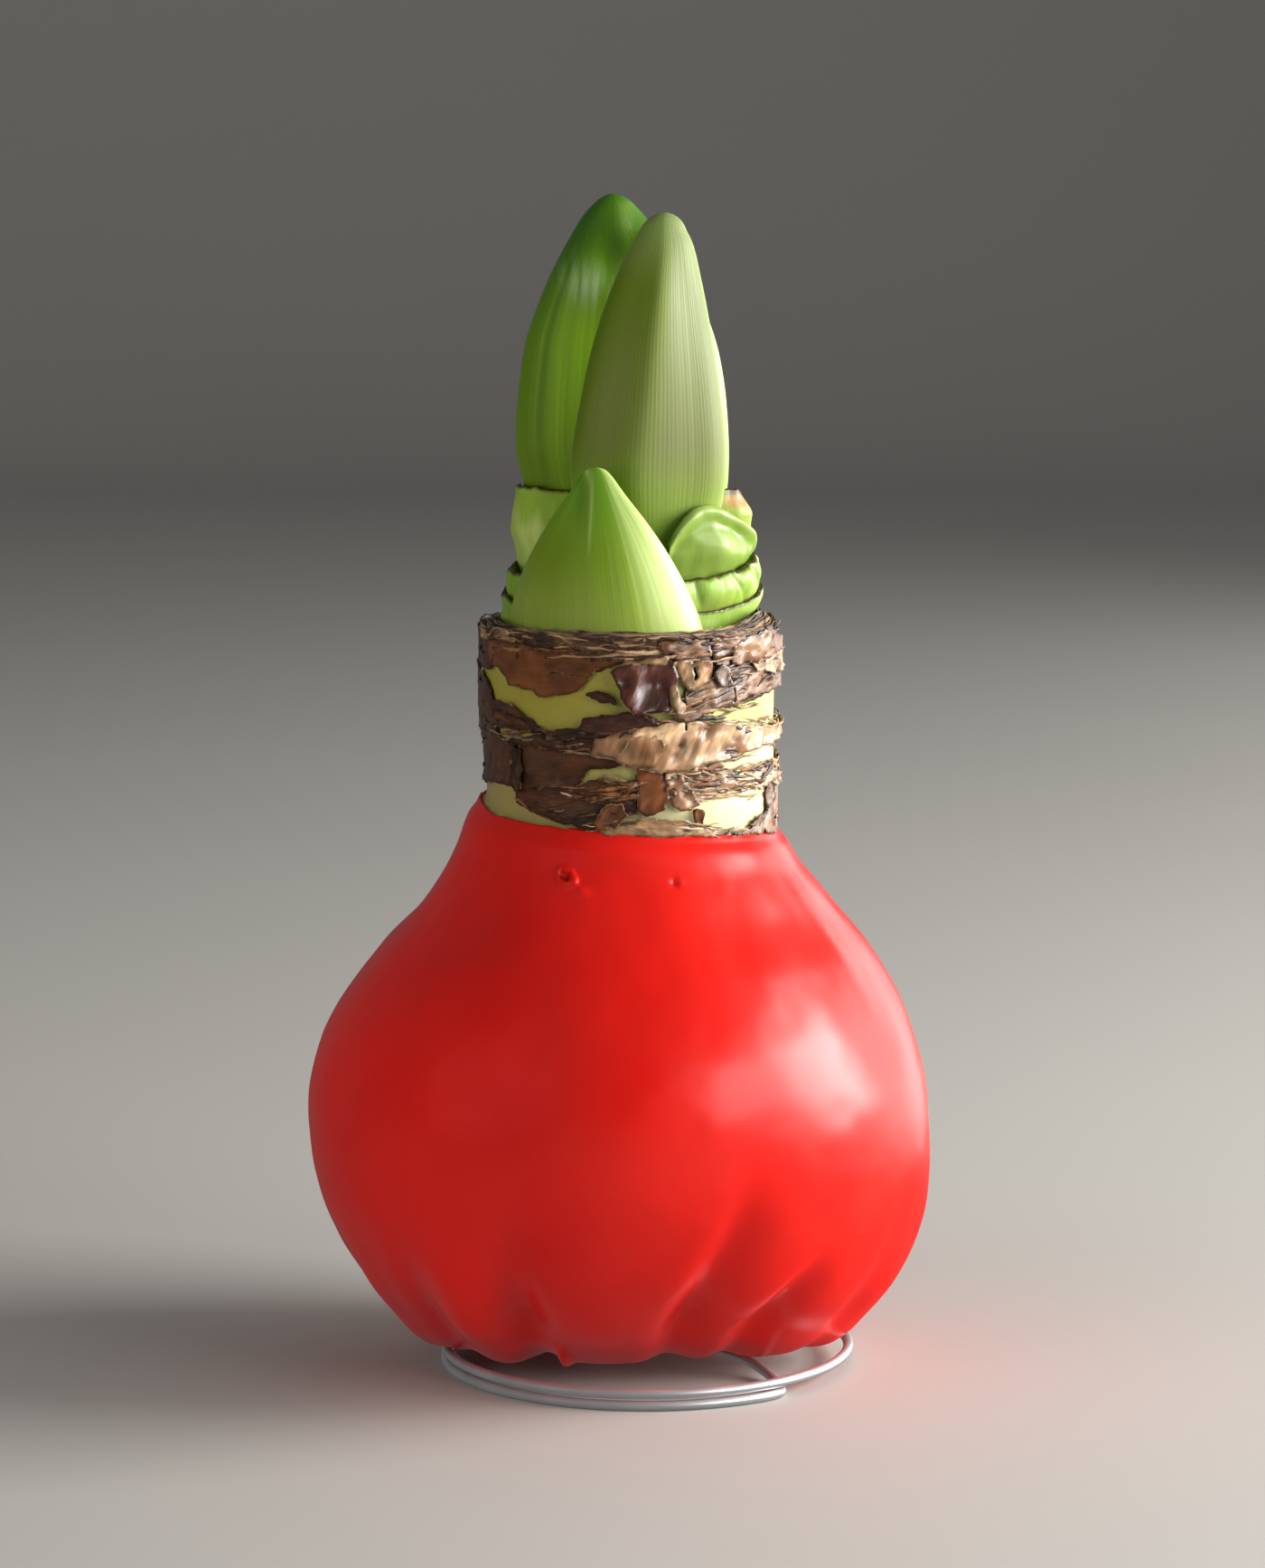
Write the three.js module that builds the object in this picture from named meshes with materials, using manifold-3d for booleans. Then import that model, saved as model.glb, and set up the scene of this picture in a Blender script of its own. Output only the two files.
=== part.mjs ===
// An amaryllis bulb dipped in wax, with its first shoots, standing on a coil of wire.
// Millimetres, +Z up. The origin lies on the surface that the bulb stands on, below the middle of its box.
//
// The wire stand is one length of wire: a coil on the surface, a spoke to its middle and a spike up into the bulb.
// The wax coat is a closed skin round the bulb, open at the neck. The bulb is one grown body. Torn strips of dry
// skin lie round its neck, and its cut top has two wells: a narrow one in front for the front shoot, and an oval
// one that holds the cut leaf bases, the sheath, the flower bud and the back leaf, one inside the other.
//
// "turn" is an angle round an upright axis, seen from above: 0 is the front (-Y), a quarter turn the right (+X).

import * as THREE from "three";
import { mergeVertices } from "three/addons/utils/BufferGeometryUtils.js";
import Module from "manifold-3d";

const wasm = await Module();
wasm.setup();

const { clamp, degToRad, lerp, radToDeg, smoothstep } = THREE.MathUtils;

// Driving dimensions
const BELLY_HALF = 43.1; // half the width of the waxed bulb, at its belly
const NECK_RADIUS = 20.6; // the neck over its dry skins
const WAX_TOP = 78.6; // the wax ends here, on the neck
const NECK_TOP = 104.4; // the cut top of the neck, at its rim
const LEAF_TOP = 163; // tip of the back leaf
const BUD_TOP = 160.6; // tip of the flower bud
const FRONT_TOP = 127.3; // tip of the front shoot
const WIRE = 1.4; // across the wire
const COIL_RADIUS = 28.3; // to the middle of the wire

// Clearances and thicknesses
const GAP = 0.3; // between pieces that rest on each other
const WAX_WALL = 1.5; // the wax where it is thinnest
const FOLD_ROOM = 2.2; // further wax behind the folds of the foot
const SKIN = 0.6; // a dry skin or a cut leaf base
const RIM_THICK = 1.5; // the dry skins of the rim, pressed together

// Places
const NECK_X = 1.3; // the neck stands a little right of the origin
const COIL_X = 4;
const COIL_Y = 2;
const SPIKE_X = 2.6;
const SPIKE_TOP = 20;
const WELL_FLOOR = 97.6;
const CORE_RADIUS = NECK_RADIUS - WAX_WALL - GAP; // the neck under its dry skins

// ---------------------------------------------------------------- building blocks

// Merges a geometry's doubles and drops the faces that collapsed.
function welded(geometry) {
  geometry.deleteAttribute("normal");
  geometry.deleteAttribute("uv");
  const merged = mergeVertices(geometry, 1e-4);
  const corners = merged.index.array;
  const kept = [];
  for (let i = 0; i < corners.length; i += 3) {
    const [a, b, c] = corners.slice(i, i + 3);
    if (a !== b && b !== c && c !== a) kept.push(a, b, c);
  }
  merged.setIndex(kept);
  return merged;
}

// Moves each vertex of a closed geometry by place().
function reshaped(geometry, place) {
  const position = geometry.getAttribute("position");
  const from = new THREE.Vector3();
  for (let i = 0; i < position.count; i += 1) {
    const to = place(from.fromBufferAttribute(position, i));
    position.setXYZ(i, to.x, to.y, to.z);
  }
  return welded(geometry);
}

// A lathed solid whose profile (along, side) is handed to place(turn, along, side).
function turned(profile, around, place) {
  const lathe = new THREE.LatheGeometry(profile, around);
  return reshaped(lathe, (p) => place(Math.atan2(p.x, p.z), Math.hypot(p.x, p.z), p.y));
}

// A ring with an inner and an outer wall: place(turn, through, up), each from 0 to 1, through running outwards.
function ring(around, rows, place) {
  const outside = [...Array(rows + 1).keys()].map((i) => new THREE.Vector2(2, i / rows));
  const inside = outside.map((p) => new THREE.Vector2(1, 1 - p.y));
  const profile = [...outside, ...inside, outside[0]];
  return turned(profile, around, (turn, along, up) => place(turn, along - 1, up));
}

// A solid that narrows to a tip: place(turn, up), with its foot at up = 0. Its rows crowd towards the tip.
function shoot(around, rows, place) {
  const profile = [new THREE.Vector2(0, 0)];
  for (let i = 0; i < rows; i += 1) profile.push(new THREE.Vector2(1, 1 - (1 - i / rows) ** 1.6));
  profile.push(new THREE.Vector2(0, 1));
  return turned(profile, around, (turn, along, up) => {
    const edge = place(turn, up);
    const across = place(turn + Math.PI, up);
    return along > 0.5 ? edge : edge.add(across).multiplyScalar(0.5);
  });
}

// A bent plate: place(across, up, through), each from 0 to 1, through running outwards.
function plate(columns, rows, place) {
  const box = new THREE.BoxGeometry(1, 1, 1, columns, rows, 1);
  return reshaped(box, (p) => place(p.x + 0.5, p.y + 0.5, p.z + 0.5));
}

function solidOf(geometry) {
  const vertProperties = geometry.getAttribute("position").array;
  const triVerts = new Uint32Array(geometry.index.array);
  return new wasm.Manifold(new wasm.Mesh({ numProp: 3, vertProperties, triVerts }));
}

function cut(geometry, ...cutters) {
  const left = cutters.reduce((solid, cutter) => solid.subtract(solidOf(cutter)), solidOf(geometry));
  const mesh = left.getMesh();
  const result = new THREE.BufferGeometry();
  result.setAttribute("position", new THREE.BufferAttribute(mesh.vertProperties, 3));
  result.setIndex(new THREE.BufferAttribute(mesh.triVerts, 1));
  return result;
}

function onOval(turn, x, y, halfX, halfY, z) {
  return new THREE.Vector3(x + halfX * Math.sin(turn), y - halfY * Math.cos(turn), z);
}

// Degrees from one turn to another, the short way round.
function apart(turn, degrees) {
  const d = radToDeg(turn) - degrees;
  return d - 360 * Math.round(d / 360);
}

// A hump of height 1 that falls away over width on both sides.
const hump = (distance, width) => Math.exp(-((distance / width) ** 2));

// Rows [x, value, ...] as a smooth function of x that gives the values there.
function smoothly(rows) {
  const keys = rows.map((row) => row[0]);
  const values = rows.flatMap((row) => row.slice(1));
  const track = new THREE.CubicInterpolant(keys, values, rows[0].length - 1);
  return (x) => [...track.evaluate(x)];
}

// Rows [degrees, height] right round the axis, from -180 to 180, as a smooth function of the turn.
function roundEdge(rows) {
  const track = smoothly(rows);
  return (turn) => track(apart(turn, 0))[0];
}

// Sections [z, x, y, halfX, halfY] as a function that gives the point of that oval, moved inwards by inset.
function ovals(rows) {
  const track = smoothly(rows);
  return (turn, z, inset = 0) => {
    const [x, y, halfX, halfY] = track(z);
    return onOval(turn, x, y, halfX - inset, halfY - inset, z);
  };
}

// ---------------------------------------------------------------- the skin line of the bulb

// Half width (X), half depth (Y, in front) and height of the waxed bulb and its neck, from the middle of the
// foot up. The foot is cut away in front, and rests on the coil at its two sides and at the back.
const SKIN_LINE = new THREE.CatmullRomCurve3(
  [
    [0, 0, 4.8],
    [13, 7, 4.6],
    [23.5, 10.8, 3.7],
    [28.2, 13.6, 3.4],
    [30.9, 17.2, 4.9],
    [33.6, 22.4, 7.9],
    [37.9, 30.8, 13.6],
    [41.2, 37.3, 20.8],
    [BELLY_HALF - 0.1, 42.2, 30.6],
    [BELLY_HALF - 0.3, 42.8, 40.4],
    [40.1, 40.1, 49.8],
    [34.2, 34.2, 59.1],
    [28.1, 28.1, 66.1],
    [24.2, 24.2, 72.2],
    [22.2, 22.2, 76.4],
    [NECK_RADIUS + 0.1, NECK_RADIUS + 0.1, WAX_TOP],
    [NECK_RADIUS, NECK_RADIUS, 85],
    [NECK_RADIUS, NECK_RADIUS, 95],
    [NECK_RADIUS, NECK_RADIUS, NECK_TOP],
  ].map((p) => new THREE.Vector3(...p)),
  false,
  "centripetal",
);
const LAST_POINT = SKIN_LINE.points.length - 1;
const WAX_END = SKIN_LINE.points.findIndex((p) => p.z === WAX_TOP) / LAST_POINT; // as a share of the line

// The bulb grew with a slow sway to the side: its axis at height z.
function sway(z) {
  const body = 0.72 + 0.92 * Math.cos((2 * Math.PI * (z - 10)) / 62);
  return lerp(body, NECK_X, smoothstep(z, 68, WAX_TOP));
}

// The wax reaches higher on the left of the neck than on the right.
function lean(turn, z) {
  return -2 * Math.sin(turn) * smoothstep(z, 64, WAX_TOP) * (1 - smoothstep(z, WAX_TOP, 95));
}

// Folds round the foot, where the wax sank between the ribs of the bulb: their turn at the foot and at their
// top, in degrees, their width, their depth and the height where they fade out.
const FRONT_FOLDS = [
  [-50, -47, 8, 0.8, 22],
  [-23, -22, 5.5, 1.9, 27],
  [-1, 0, 8, 1, 24],
  [17, 26, 6, 2.1, 33],
  [41, 40, 5, 1.9, 23],
  [62, 60, 8, 0.8, 26],
];
const BACK_FOLDS = 9;
const BACK_SPAN = [86, 286];

function allFolds() {
  const folds = [...FRONT_FOLDS];
  for (let i = 0; i < BACK_FOLDS; i += 1) {
    const foot = lerp(...BACK_SPAN, i / (BACK_FOLDS - 1)) + 5 * Math.sin(3.1 * i);
    const top = foot + 4 * Math.cos(2.3 * i);
    folds.push([foot, top, 6.5, 1.1 + 0.7 * Math.sin(1.9 * i), 25 + 4 * Math.cos(1.3 * i)]);
  }
  return folds;
}
const FOLDS = allFolds();

function foldDepth(turn, at) {
  let depth = 0;
  for (const [foot, top, width, deep, fade] of FOLDS) {
    const up = smoothstep(at.z, 4, fade);
    depth += deep * (1 - up) * hump(apart(turn, lerp(foot, top, up)), width * (1 - 0.35 * up));
  }
  return depth * smoothstep(at.x, 10, 24);
}

// The half width, half depth and height at a turn: behind the axis the bulb is nearly as deep as it is wide.
function skinLine(turn, share) {
  const at = SKIN_LINE.getPoint(share);
  const behind = smoothstep(-Math.cos(turn), -0.1, 0.75);
  return at.setY(lerp(at.y, at.x, 0.8 * behind));
}

const wallAt = (z) => WAX_WALL + FOLD_ROOM * (1 - smoothstep(z, 12, 36));

// A point at depth(at) inside the skin line, at a share of the way from the foot's middle to the neck's top.
function skinPoint(turn, share, depth) {
  const step = 1e-3;
  const at = skinLine(turn, share);
  const ahead = skinLine(turn, Math.min(share + step, 1)).sub(skinLine(turn, Math.max(share - step, 0)));
  const [s, c] = [Math.sin(turn), Math.cos(turn)];
  const upwards = new THREE.Vector3(ahead.x * s, -ahead.y * c, ahead.z);
  const sideways = new THREE.Vector3(Math.max(at.x, step) * c, Math.max(at.y, step) * s, 0);
  const outwards = sideways.cross(upwards).normalize();
  const point = onOval(turn, sway(at.z), 0, at.x, at.y, at.z + lean(turn, at.z));
  return point.addScaledVector(outwards, -depth(at));
}

// ---------------------------------------------------------------- wire stand

// Its stations run from the free end at the back, over the upper turn, down at the right and round the lower
// turn to its bend, where the wire passes in under the upper turn, crosses to the middle and rises.
function wireStations() {
  const low = (WIRE / 2) * Math.cos(Math.PI / 8);
  const high = low + WIRE + 0.2;
  const [end, bend, step] = [535, -37, 7.5]; // degrees clockwise from the front
  const stations = [];
  for (let angle = end; angle >= bend; angle -= step) {
    const a = degToRad(angle);
    const x = COIL_X - COIL_RADIUS * Math.sin(a);
    const y = COIL_Y - COIL_RADIUS * Math.cos(a);
    stations.push(new THREE.Vector3(x, y, lerp(low, high, smoothstep(angle, 195, 262))));
  }
  const inwards = [
    [22.1, -19.2, low],
    [22.2, -17.4, low],
    [21.8, -14.6, low + 0.1],
    [20.6, -10.6, 1.1],
    [17.8, -6.1, 1.8],
    [13.2, -2.6, 2.5],
    [8, -0.6, 2.9],
    [4.7, 0, 3],
    [3.4, 0, 3.2],
    [2.75, 0, 3.8],
    [SPIKE_X, 0, 4.8],
    [SPIKE_X, 0, 12],
    [SPIKE_X, 0, SPIKE_TOP],
  ];
  return [...stations, ...inwards.map((p) => new THREE.Vector3(...p))];
}

// An eight-sided section with a flat side down, carried along the stations. Its frames keep it upright.
function wireStand() {
  const path = new THREE.CatmullRomCurve3(wireStations());
  path.getUtoTmapping = (u) => u;
  path.computeFrenetFrames = (steps) => {
    const frames = { tangents: [], normals: [], binormals: [] };
    const side = new THREE.Vector3();
    for (let i = 0; i <= steps; i += 1) {
      const tangent = path.getTangent(i / steps);
      if (Math.hypot(tangent.x, tangent.y) > 0.2) side.set(tangent.y, -tangent.x, 0).normalize();
      frames.tangents.push(tangent);
      frames.binormals.push(side.clone());
      frames.normals.push(side.clone().cross(tangent));
    }
    return frames;
  };
  const corners = [];
  for (let i = 0; i < 8; i += 1) {
    const a = (Math.PI * (2 * i + 1)) / 8;
    corners.push(new THREE.Vector2((WIRE / 2) * Math.cos(a), (WIRE / 2) * Math.sin(a)));
  }
  const options = { steps: path.points.length - 1, extrudePath: path };
  return welded(new THREE.ExtrudeGeometry(new THREE.Shape(corners), options));
}

// What the spike's hole takes out of the wax and the bulb.
function spikeHole() {
  const radius = WIRE / 2 + GAP;
  const height = SPIKE_TOP + GAP;
  const hole = new THREE.CylinderGeometry(radius, radius, height, 12);
  hole.rotateX(Math.PI / 2);
  hole.translate(SPIKE_X, 0, height / 2);
  return welded(hole);
}

// ---------------------------------------------------------------- wax coat and bulb

// Rows along the inside of the wax. The bulb behind it has the same ones, so that they stay clear of each other.
const SHARED_ROWS = 15;
const sharedRow = (i) => (i / SHARED_ROWS) * WAX_END;

function waxCoat() {
  const rows = 27;
  const profile = [];
  for (let i = 0; i <= rows; i += 1) profile.push(new THREE.Vector2((i / rows) * WAX_END, 1));
  for (let i = SHARED_ROWS; i >= 0; i -= 1) profile.push(new THREE.Vector2(sharedRow(i), 0));
  const coat = turned(profile, 64, (turn, share, side) => {
    const depth = side > 0.5 ? (at) => foldDepth(turn, at) : (at) => wallAt(at.z);
    return skinPoint(turn, share, depth);
  });
  return cut(coat, spikeHole());
}

// The neck's cut top, from its rim to its middle: the ends of the cut scales stand up as rings.
function cutTop(rings) {
  const profile = [];
  for (let i = 1; i < 2 * rings; i += 1) {
    const inwards = i / (2 * rings);
    profile.push({ radius: CORE_RADIUS * (1 - inwards), z: NECK_TOP + 2.4 * inwards - (i % 2) * 0.5 });
  }
  return [...profile, { radius: 0, z: NECK_TOP + 2.4 }];
}

function bulb() {
  const top = cutTop(7);
  const profile = [];
  for (let i = 0; i <= SHARED_ROWS; i += 1) profile.push(new THREE.Vector2(sharedRow(i), 0));
  profile.push(new THREE.Vector2((WAX_END + 1) / 2, 0), new THREE.Vector2(1, 0));
  top.forEach((at, i) => profile.push(new THREE.Vector2(at.radius / CORE_RADIUS, i + 1)));
  const body = turned(profile, 40, (turn, along, step) => {
    if (step > 0.5) {
      const { radius, z } = top[Math.round(step) - 1];
      return onOval(turn, NECK_X, 0, radius, radius, z);
    }
    return skinPoint(turn, along, (at) => wallAt(at.z) + GAP);
  });
  return cut(body, spikeHole(), innerWell(), frontWell());
}

// ---------------------------------------------------------------- what stands in the neck

// Each leaf base stands inside the one before it, and they open a little above the neck.
const OUTER_BASE = ovals([
  [WELL_FLOOR, 1.8, 0.9, 16.8, 11.6],
  [105.2, 1.8, 0.9, 16.8, 11.6],
  [108.2, 1.8, 1.1, 17.9, 12.4],
  [115, 2, 1.2, 17.8, 12.5],
]);
const OUTER_BASE_EDGE = roundEdge([
  [-180, 110.5],
  [-90, 108.7],
  [-30, 107],
  [45, 107],
  [90, 109.4],
  [180, 110.5],
]);
const INNER_BASE_EDGE = roundEdge([
  [-180, 115],
  [-90, 112],
  [0, 111],
  [45, 111.8],
  [90, 113.7],
  [180, 115],
]);
const SHEATH = ovals([
  [WELL_FLOOR, 2, 5.1, 11.8, 4.5],
  [108, 1.8, 5.1, 12.1, 4.5],
  [112.6, 1.3, 5.1, 12.6, 4.5],
  [115.5, 0.4, 5.2, 14.7, 4.7],
  [118.5, 0.4, 5.3, 15, 4.9],
  [123, 1.2, 5.4, 15.2, 5.1],
]);
const SHEATH_EDGE = roundEdge([
  [-180, 122],
  [-90, 123],
  [0, 122],
  [60, 122.6],
  [100, 121.6],
  [180, 122],
]);
const BACK_LEAF = ovals([
  [WELL_FLOOR, 2, 5.1, 10.6, 3.4],
  [109, 1.9, 5.1, 10.8, 3.5],
  [122.5, 1, 5.5, 14, 4],
  [127.6, 0.5, 5.6, 14.7, 4.7],
  [132.5, 0.4, 5.7, 14.6, 4.9],
  [137.5, 0.4, 5.7, 14.1, 4.9],
  [142.5, 0.3, 5.7, 13.2, 4.8],
  [147.4, 0.2, 5.7, 11.5, 4.5],
  [152.4, -0.2, 5.6, 9, 4],
  [157.4, -0.5, 5.5, 6, 3.2],
  [160.4, -0.7, 5.5, 3.8, 2.3],
  [162.3, -0.7, 5.5, 1.7, 1.2],
  [LEAF_TOP, -0.7, 5.5, 0, 0],
]);
const FLOWER_BUD = ovals([
  [WELL_FLOOR, 3.9, -3.4, 6.8, 3],
  [110, 4.1, -3.4, 7.4, 3.2],
  [118, 4.2, -3.6, 9.3, 3.8],
  [125, 4.1, -4.1, 10.6, 4.6],
  [136.6, 4.5, -4.3, 9.4, 5],
  [144.2, 4.8, -4, 7.9, 4.8],
  [151.5, 5.4, -3.6, 5.9, 4],
  [156.6, 6, -3.3, 4.05, 2.9],
  [159.1, 6.1, -3.1, 2.7, 2],
  [160.1, 6.2, -3, 1.8, 1.4],
  [BUD_TOP, 6.3, -3, 0, 0],
]);
const KEEL = 0.8; // the flower bud's blunt keel stands this far out in front

// How far the inner base's outside and the folded scale's lie inside the outer base's outside.
const INNER_INSET = SKIN + GAP + 0.1;
const SCALE_INSET = SKIN + 2 * GAP + SKIN + 0.9;
const SCALE_THICK = 0.8;

function leafBase(turn, through, z, inset) {
  return OUTER_BASE(turn, z, inset + SKIN * (1 - through));
}

function outerLeafBase() {
  return ring(40, 3, (turn, through, up) => {
    const z = lerp(WELL_FLOOR + GAP, OUTER_BASE_EDGE(turn), up ** 0.6);
    return leafBase(turn, through, z, 0);
  });
}

// Soft ribs stand on the inner base, most of all on its right.
function innerLeafBase() {
  return ring(48, 3, (turn, through, up) => {
    const z = lerp(WELL_FLOOR + GAP, INNER_BASE_EDGE(turn), up);
    const rib = 0.25 * (1 + Math.cos(15 * turn)) * smoothstep(up, 0.5, 1) * (1 - smoothstep(z, 113, 115));
    return leafBase(turn, through, z, INNER_INSET + 0.3 * (1 - up) + rib * 0.6);
  });
}

// The sheath wraps the back leaf. Its right side is torn, and stands out as a flap.
function leafSheath() {
  return ring(40, 4, (turn, through, up) => {
    const z = lerp(WELL_FLOOR + GAP, SHEATH_EDGE(turn), up);
    const point = SHEATH(turn, z, SKIN * (1 - through));
    point.x += 3.2 * hump(z - 118.6, 2.6) * hump(apart(turn, 84), 30);
    return point;
  });
}

function backLeaf() {
  return shoot(22, 14, (turn, up) => BACK_LEAF(turn, lerp(WELL_FLOOR + GAP, LEAF_TOP, up)));
}

function flowerBud() {
  return shoot(22, 14, (turn, up) => {
    const z = lerp(WELL_FLOOR + GAP, BUD_TOP, up);
    const point = FLOWER_BUD(turn, z);
    point.y -= KEEL * hump(apart(turn, 0), 24) * smoothstep(z, 112, 124) * (1 - smoothstep(z, 150, BUD_TOP));
    return point;
  });
}

// The folded scale's top edge: [degrees, height].
const SCALE_EDGE = smoothly([
  [17, 115.6],
  [21, 117.1],
  [28, 119.1],
  [34, 120.7],
  [41, 121.3],
  [51, 120.7],
  [63, 119.2],
  [78, 117.4],
  [92, 115.6],
]);
const [SCALE_FROM, SCALE_TO] = [17, 92];

// A crumpled scale between the flower bud and the inner leaf base: a dimpled plate with a rolled rim.
function foldedScale() {
  return plate(11, 8, (across, up, through) => {
    const degrees = lerp(SCALE_FROM, SCALE_TO, across);
    const turn = degToRad(degrees);
    const z = lerp(WELL_FLOOR + GAP, SCALE_EDGE(degrees)[0], up);
    const opening = 1.5 * smoothstep(z, 111.5, 117) - 0.5 * smoothstep(z, 118.5, 121);
    const dimple = 0.5 * hump(degrees - 60, 14) * hump(z - 117.2, 1.8);
    const inset = SCALE_INSET - opening + dimple + SCALE_THICK * (1 - through);
    return OUTER_BASE(turn, Math.min(z, 112), inset).setZ(z);
  });
}

// The front shoot at the neck's rim: its half width, its depth, and the radius that its front is bent round.
const FRONT_HALF = 13.1;
const FRONT_DEEP = 4.5;
const FRONT_ARC = 17.2;

// It is bent round the inside of the neck's front wall, and leans back to its tip.
function frontSection(turn, z, grown) {
  const up = clamp((z - NECK_TOP) / (FRONT_TOP - NECK_TOP), 0, 1);
  const narrowing = (1 - up ** 1.6) ** 0.85;
  const x = -1.5 - 2 * up ** 0.6 + (FRONT_HALF * narrowing + grown) * Math.sin(turn);
  const arc = FRONT_ARC - Math.sqrt(FRONT_ARC ** 2 - (x - NECK_X) ** 2);
  const deep = FRONT_DEEP * narrowing ** 0.8 + 2 * grown;
  const y = -FRONT_ARC - grown + 4.2 * up ** 1.5 + arc + (deep / 2) * (1 - Math.cos(turn));
  return new THREE.Vector3(x, y, z);
}

function frontShoot() {
  return shoot(24, 12, (turn, up) => frontSection(turn, lerp(WELL_FLOOR + GAP, FRONT_TOP, up), 0));
}

// ---------------------------------------------------------------- wells in the neck

function prism(section) {
  const square = [
    [0, 0],
    [1, 0],
    [1, 1],
    [0, 1],
  ];
  const corners = square.map((corner) => new THREE.Vector2(...corner));
  return turned(corners, 40, (turn, along, up) => {
    const edge = section(turn);
    const across = section(turn + Math.PI);
    const point = along > 0.5 ? edge : edge.add(across).multiplyScalar(0.5);
    return point.setZ(lerp(WELL_FLOOR, NECK_TOP + 8, up));
  });
}

function innerWell() {
  return prism((turn) => OUTER_BASE(turn, WELL_FLOOR, -GAP));
}

function frontWell() {
  return prism((turn) => frontSection(turn, WELL_FLOOR, GAP));
}

// ---------------------------------------------------------------- dry skins on the neck

// A torn edge: short and long waves in step with no others.
function torn(turn, rough, phase) {
  const long = Math.sin(5 * turn + phase) + 0.6 * Math.sin(11 * turn + 2.3 * phase);
  return rough * (long + 0.8 * Math.sin(23 * turn + 3.1 * phase));
}

// A strip round the neck, thick, over what lies under it, between a lower and an upper edge.
function skinStrip(over, thick, lower, upper, rough, phase) {
  return ring(72, 1, (turn, through, up) => {
    const bottom = lower(turn) + torn(turn, rough, phase);
    const top = upper(turn) + torn(turn, rough * 0.6, phase + 2);
    const radius = CORE_RADIUS + over + GAP + thick * through;
    return onOval(turn, NECK_X, 0, radius, radius, up > 0.5 ? top : bottom);
  });
}

const RIM_LOWER = roundEdge([
  [-180, 97],
  [-110, 98.5],
  [-75, 99.4],
  [-55, 96.8],
  [-22, 96.6],
  [-10, 99.4],
  [16, 99.2],
  [32, 95.8],
  [55, 95.4],
  [80, 95.8],
  [120, 97.5],
  [180, 97],
]);
const RIM_UPPER = roundEdge([
  [-180, 105],
  [-60, 104.6],
  [0, 104.7],
  [90, 105.2],
  [180, 105],
]);
const MIDDLE_LOWER = roundEdge([
  [-180, 88],
  [-100, 92.5],
  [-80, 93.9],
  [-54, 92.2],
  [-34, 90],
  [-15, 87.2],
  [30, 86.8],
  [80, 88.2],
  [180, 88],
]);
const MIDDLE_UPPER = roundEdge([
  [-180, 93.6],
  [-100, 95],
  [-80, 95.8],
  [-54, 93.4],
  [-20, 92.7],
  [30, 93],
  [80, 92],
  [180, 93.6],
]);
const LOWER_LOWER = roundEdge([
  [-180, 82.4],
  [-80, 84.2],
  [-50, 82],
  [-25, 80.6],
  [-8, 81.2],
  [14, 83],
  [80, 83.4],
  [180, 82.4],
]);
const LOWER_UPPER = roundEdge([
  [-180, 86.6],
  [-70, 89.6],
  [-34, 89.2],
  [-12, 85.4],
  [14, 85.2],
  [80, 85.6],
  [180, 86.6],
]);

// The lowest strip lies along the edge of the wax, from the front round the right side to the back.
function footSkin() {
  return plate(60, 1, (across, up, through) => {
    const turn = degToRad(lerp(-4, 236, across));
    const height = 1.1 + 0.4 * Math.sin(3 * turn) + torn(turn, 0.12, 1);
    const radius = CORE_RADIUS + GAP + SKIN * through;
    return onOval(turn, NECK_X, 0, radius, radius, WAX_TOP + lean(turn, WAX_TOP) + GAP + height * up);
  });
}

// A flap of skin that has come away below the rim, and curls outwards to its tip.
function tornFlap() {
  return plate(6, 4, (across, up, through) => {
    const turn = degToRad(lerp(-7, 19, across));
    const curl = 2.6 * (1 - up) ** 1.5 + 0.5 * (2 * across - 1) ** 2;
    const radius = CORE_RADIUS + GAP + curl + SKIN * through;
    const bottom = 94.6 + 1.6 * Math.abs(across - 0.4);
    return onOval(turn, NECK_X, 0, radius, radius, lerp(bottom, 98.9, up));
  });
}

// ---------------------------------------------------------------- the part

const FINISH = {
  wax: { color: 0xc4170c, roughness: 0.32, metalness: 0 },
  wire: { color: 0xb9babd, roughness: 0.3, metalness: 1 },
  flesh: { color: 0xc9cf8d, roughness: 0.5, metalness: 0 },
  skin: { color: 0x6b4630, roughness: 0.6, metalness: 0 },
  leaf: { color: 0x5c9a1e, roughness: 0.35, metalness: 0 },
  bud: { color: 0x8aa05a, roughness: 0.45, metalness: 0 },
  base: { color: 0xa9c765, roughness: 0.45, metalness: 0 },
};

const part = new THREE.Group();

function add(name, finish, geometry) {
  const mesh = new THREE.Mesh(geometry, new THREE.MeshStandardMaterial(FINISH[finish]));
  mesh.name = name;
  part.add(mesh);
}

add("wire_stand", "wire", wireStand());
add("wax_coat", "wax", waxCoat());
add("bulb", "flesh", bulb());
add("rim_skin", "skin", skinStrip(0, RIM_THICK, RIM_LOWER, RIM_UPPER, 0.28, 0.4));
add("middle_skin", "skin", skinStrip(SKIN + GAP, SKIN, MIDDLE_LOWER, MIDDLE_UPPER, 0.22, 1.7));
add("lower_skin", "skin", skinStrip(0, SKIN, LOWER_LOWER, LOWER_UPPER, 0.25, 2.9));
add("foot_skin", "skin", footSkin());
add("torn_flap", "skin", tornFlap());
add("outer_leaf_base", "base", outerLeafBase());
add("inner_leaf_base", "base", innerLeafBase());
add("leaf_sheath", "base", leafSheath());
add("folded_scale", "base", foldedScale());
add("front_shoot", "leaf", frontShoot());
add("flower_bud", "bud", flowerBud());
add("back_leaf", "leaf", backLeaf());

export default part;
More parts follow.
